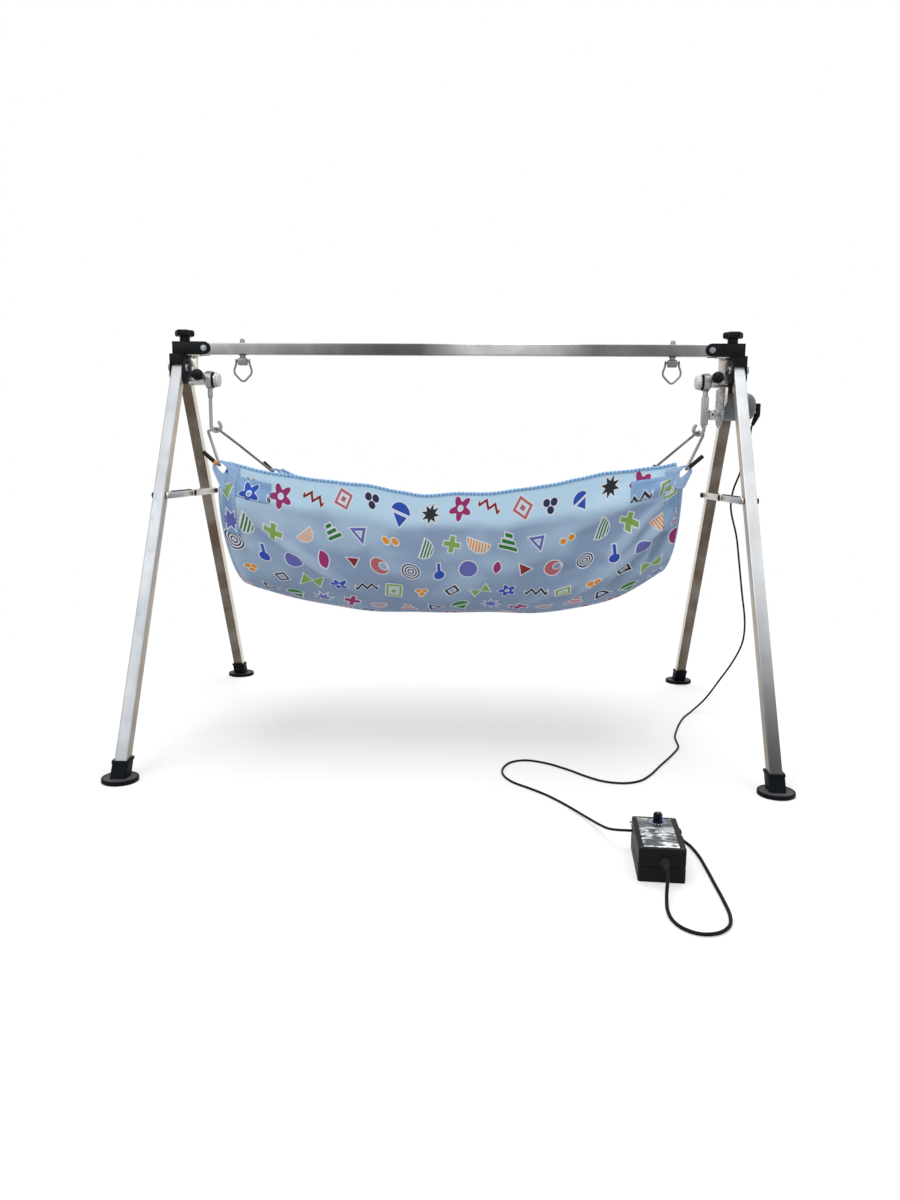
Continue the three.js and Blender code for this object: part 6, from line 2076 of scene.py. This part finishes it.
class CRADLE_OT_stage(bpy.types.Operator):
    """Builds the camera, the lamps, the background and the floor"""

    bl_idname = "cradle.stage"
    bl_label = "Stage"

    def execute(self, context):
        s = settings()
        self.build_camera(s.camera)
        self.build_floor(s.light)
        self.build_world(s.light)
        self.build_lamps(s.light)
        scene = bpy.context.scene
        scene.view_settings.view_transform = "Standard"
        return {"FINISHED"}

    def build_camera(self, c):
        data = bpy.data.cameras.new("photo_camera")
        data.sensor_fit = "VERTICAL"
        data.lens = c.reach_pixels / PHOTO_SIZE[1] * data.sensor_height
        camera = bpy.data.objects.new("photo_camera", data)
        level = math.cos(c.pitch)
        ahead = Vector((math.sin(c.heading) * level, math.cos(c.heading) * level, math.sin(c.pitch)))
        right = Vector((math.cos(c.heading), -math.sin(c.heading), 0))
        up = right.cross(ahead)
        across = right * math.cos(c.roll) + up * math.sin(c.roll)
        above = up * math.cos(c.roll) - right * math.sin(c.roll)
        turn = Matrix((across, above, -ahead)).transposed().to_4x4()
        camera.matrix_world = Matrix.Translation(Vector(c.place)) @ turn
        bpy.context.scene.collection.objects.link(camera)
        bpy.context.scene.camera = camera

    def build_floor(self, light):
        bm = bmesh.new()
        bmesh.ops.create_grid(bm, x_segments=1, y_segments=1, size=9.0)
        mesh = bpy.data.meshes.new("floor")
        bm.to_mesh(mesh)
        bm.free()
        floor = bpy.data.objects.new("floor", mesh)
        colour = tuple(light.floor_colour)
        finish = Finish("pale_floor", Roughness=0.9, Base_Color=colour, Specular_IOR_Level=0.1)
        across, ahead, _ = finish.parts(finish.place())
        reach = length2(across, ahead - FLOOR_MIDDLE_Y)
        finish.surface(alpha=FLOOR_SHARE * (1 - reach.ramp(light.floor_start, light.floor_end)))
        mesh.materials.append(finish.material)
        bpy.context.scene.collection.objects.link(floor)

    def build_world(self, light):
        world = bpy.data.worlds.new("studio")
        world.use_nodes = True
        world.node_tree.nodes.clear()
        studio = Nodes(world.node_tree)
        rays = studio.add("ShaderNodeLightPath").outputs
        camera, glossy, through = (
            Value(studio, rays[f"Is {kind} Ray"]) for kind in ("Camera", "Glossy", "Transmission")
        )
        white = (1, 1, 1)
        room = studio.add("ShaderNodeBackground", values={"Color": white, "Strength": light.ambient})
        backdrop = studio.add("ShaderNodeBackground", values={"Color": white, "Strength": light.backdrop})
        seen = camera.greater(glossy).greater(through)
        mixed = {"Fac": seen, 1: room.outputs[0], 2: backdrop.outputs[0]}
        blend = studio.add("ShaderNodeMixShader", values=mixed)
        studio.add("ShaderNodeOutputWorld", values={"Surface": blend.outputs[0]})
        bpy.context.scene.world = world

    def build_lamps(self, light):
        aim = Vector((0, 0, 0.4))
        for name, place, size, power in (
            ("key_lamp", (-1.7, -2.3, 2.5), 2.2, light.key),
            ("fill_lamp", (2.5, -1.7, 1.6), 2.0, light.fill),
            ("top_lamp", (0.2, 0.4, 3.0), 2.6, light.top),
        ):
            data = bpy.data.lights.new(name, "AREA")
            data.shape = "SQUARE"
            data.size = size
            data.energy = power
            lamp = bpy.data.objects.new(name, data)
            lamp.matrix_world = Matrix.Translation(Vector(place)) @ turned_to(Vector(place) - aim)
            bpy.context.scene.collection.objects.link(lamp)


class CRADLE_PT_builder(bpy.types.Panel):
    """Lists the cradle's builders and settings"""

    bl_idname = "CRADLE_PT_builder"
    bl_label = "Hanging Baby Cradle"
    bl_space_type = "VIEW_3D"
    bl_region_type = "UI"
    bl_category = "Cradle"

    def draw(self, context):
        layout = self.layout
        s = context.scene.cradle
        for group in (s.camera, s.light, s.tube, s.cloth, s.cord):
            column = layout.box().column()
            for name in group.bl_rna.properties.keys():
                if name not in ("rna_type", "name"):
                    column.prop(group, name)
        column = layout.column(align=True)
        for operator in OPERATORS:
            column.operator(operator.bl_idname)


OPERATORS = (
    CRADLE_OT_stage,
    CRADLE_OT_motor,
    CRADLE_OT_leads,
    CRADLE_OT_tubes,
    CRADLE_OT_heads,
    CRADLE_OT_feet,
    CRADLE_OT_stays,
    CRADLE_OT_pivots,
    CRADLE_OT_hangers,
    CRADLE_OT_wires,
    CRADLE_OT_cloth,
    CRADLE_OT_toy_hooks,
    CRADLE_OT_control_box,
)
GROUPS = (CameraSettings, LightSettings, TubeSettings, ClothSettings, CordSettings, CradleSettings)


def register():
    for cls in (*GROUPS, *OPERATORS, CRADLE_PT_builder):
        bpy.utils.register_class(cls)
    bpy.types.Scene.cradle = PointerProperty(type=CradleSettings)


def unregister():
    del bpy.types.Scene.cradle
    for cls in reversed((*GROUPS, *OPERATORS, CRADLE_PT_builder)):
        bpy.utils.unregister_class(cls)


def main():
    register()
    for operator in OPERATORS:
        group, name = operator.bl_idname.split(".")
        result = getattr(getattr(bpy.ops, group), name)()
        if result != {"FINISHED"}:
            raise RuntimeError(f"{operator.bl_idname} didn't finish")


if __name__ == "__main__":
    main()
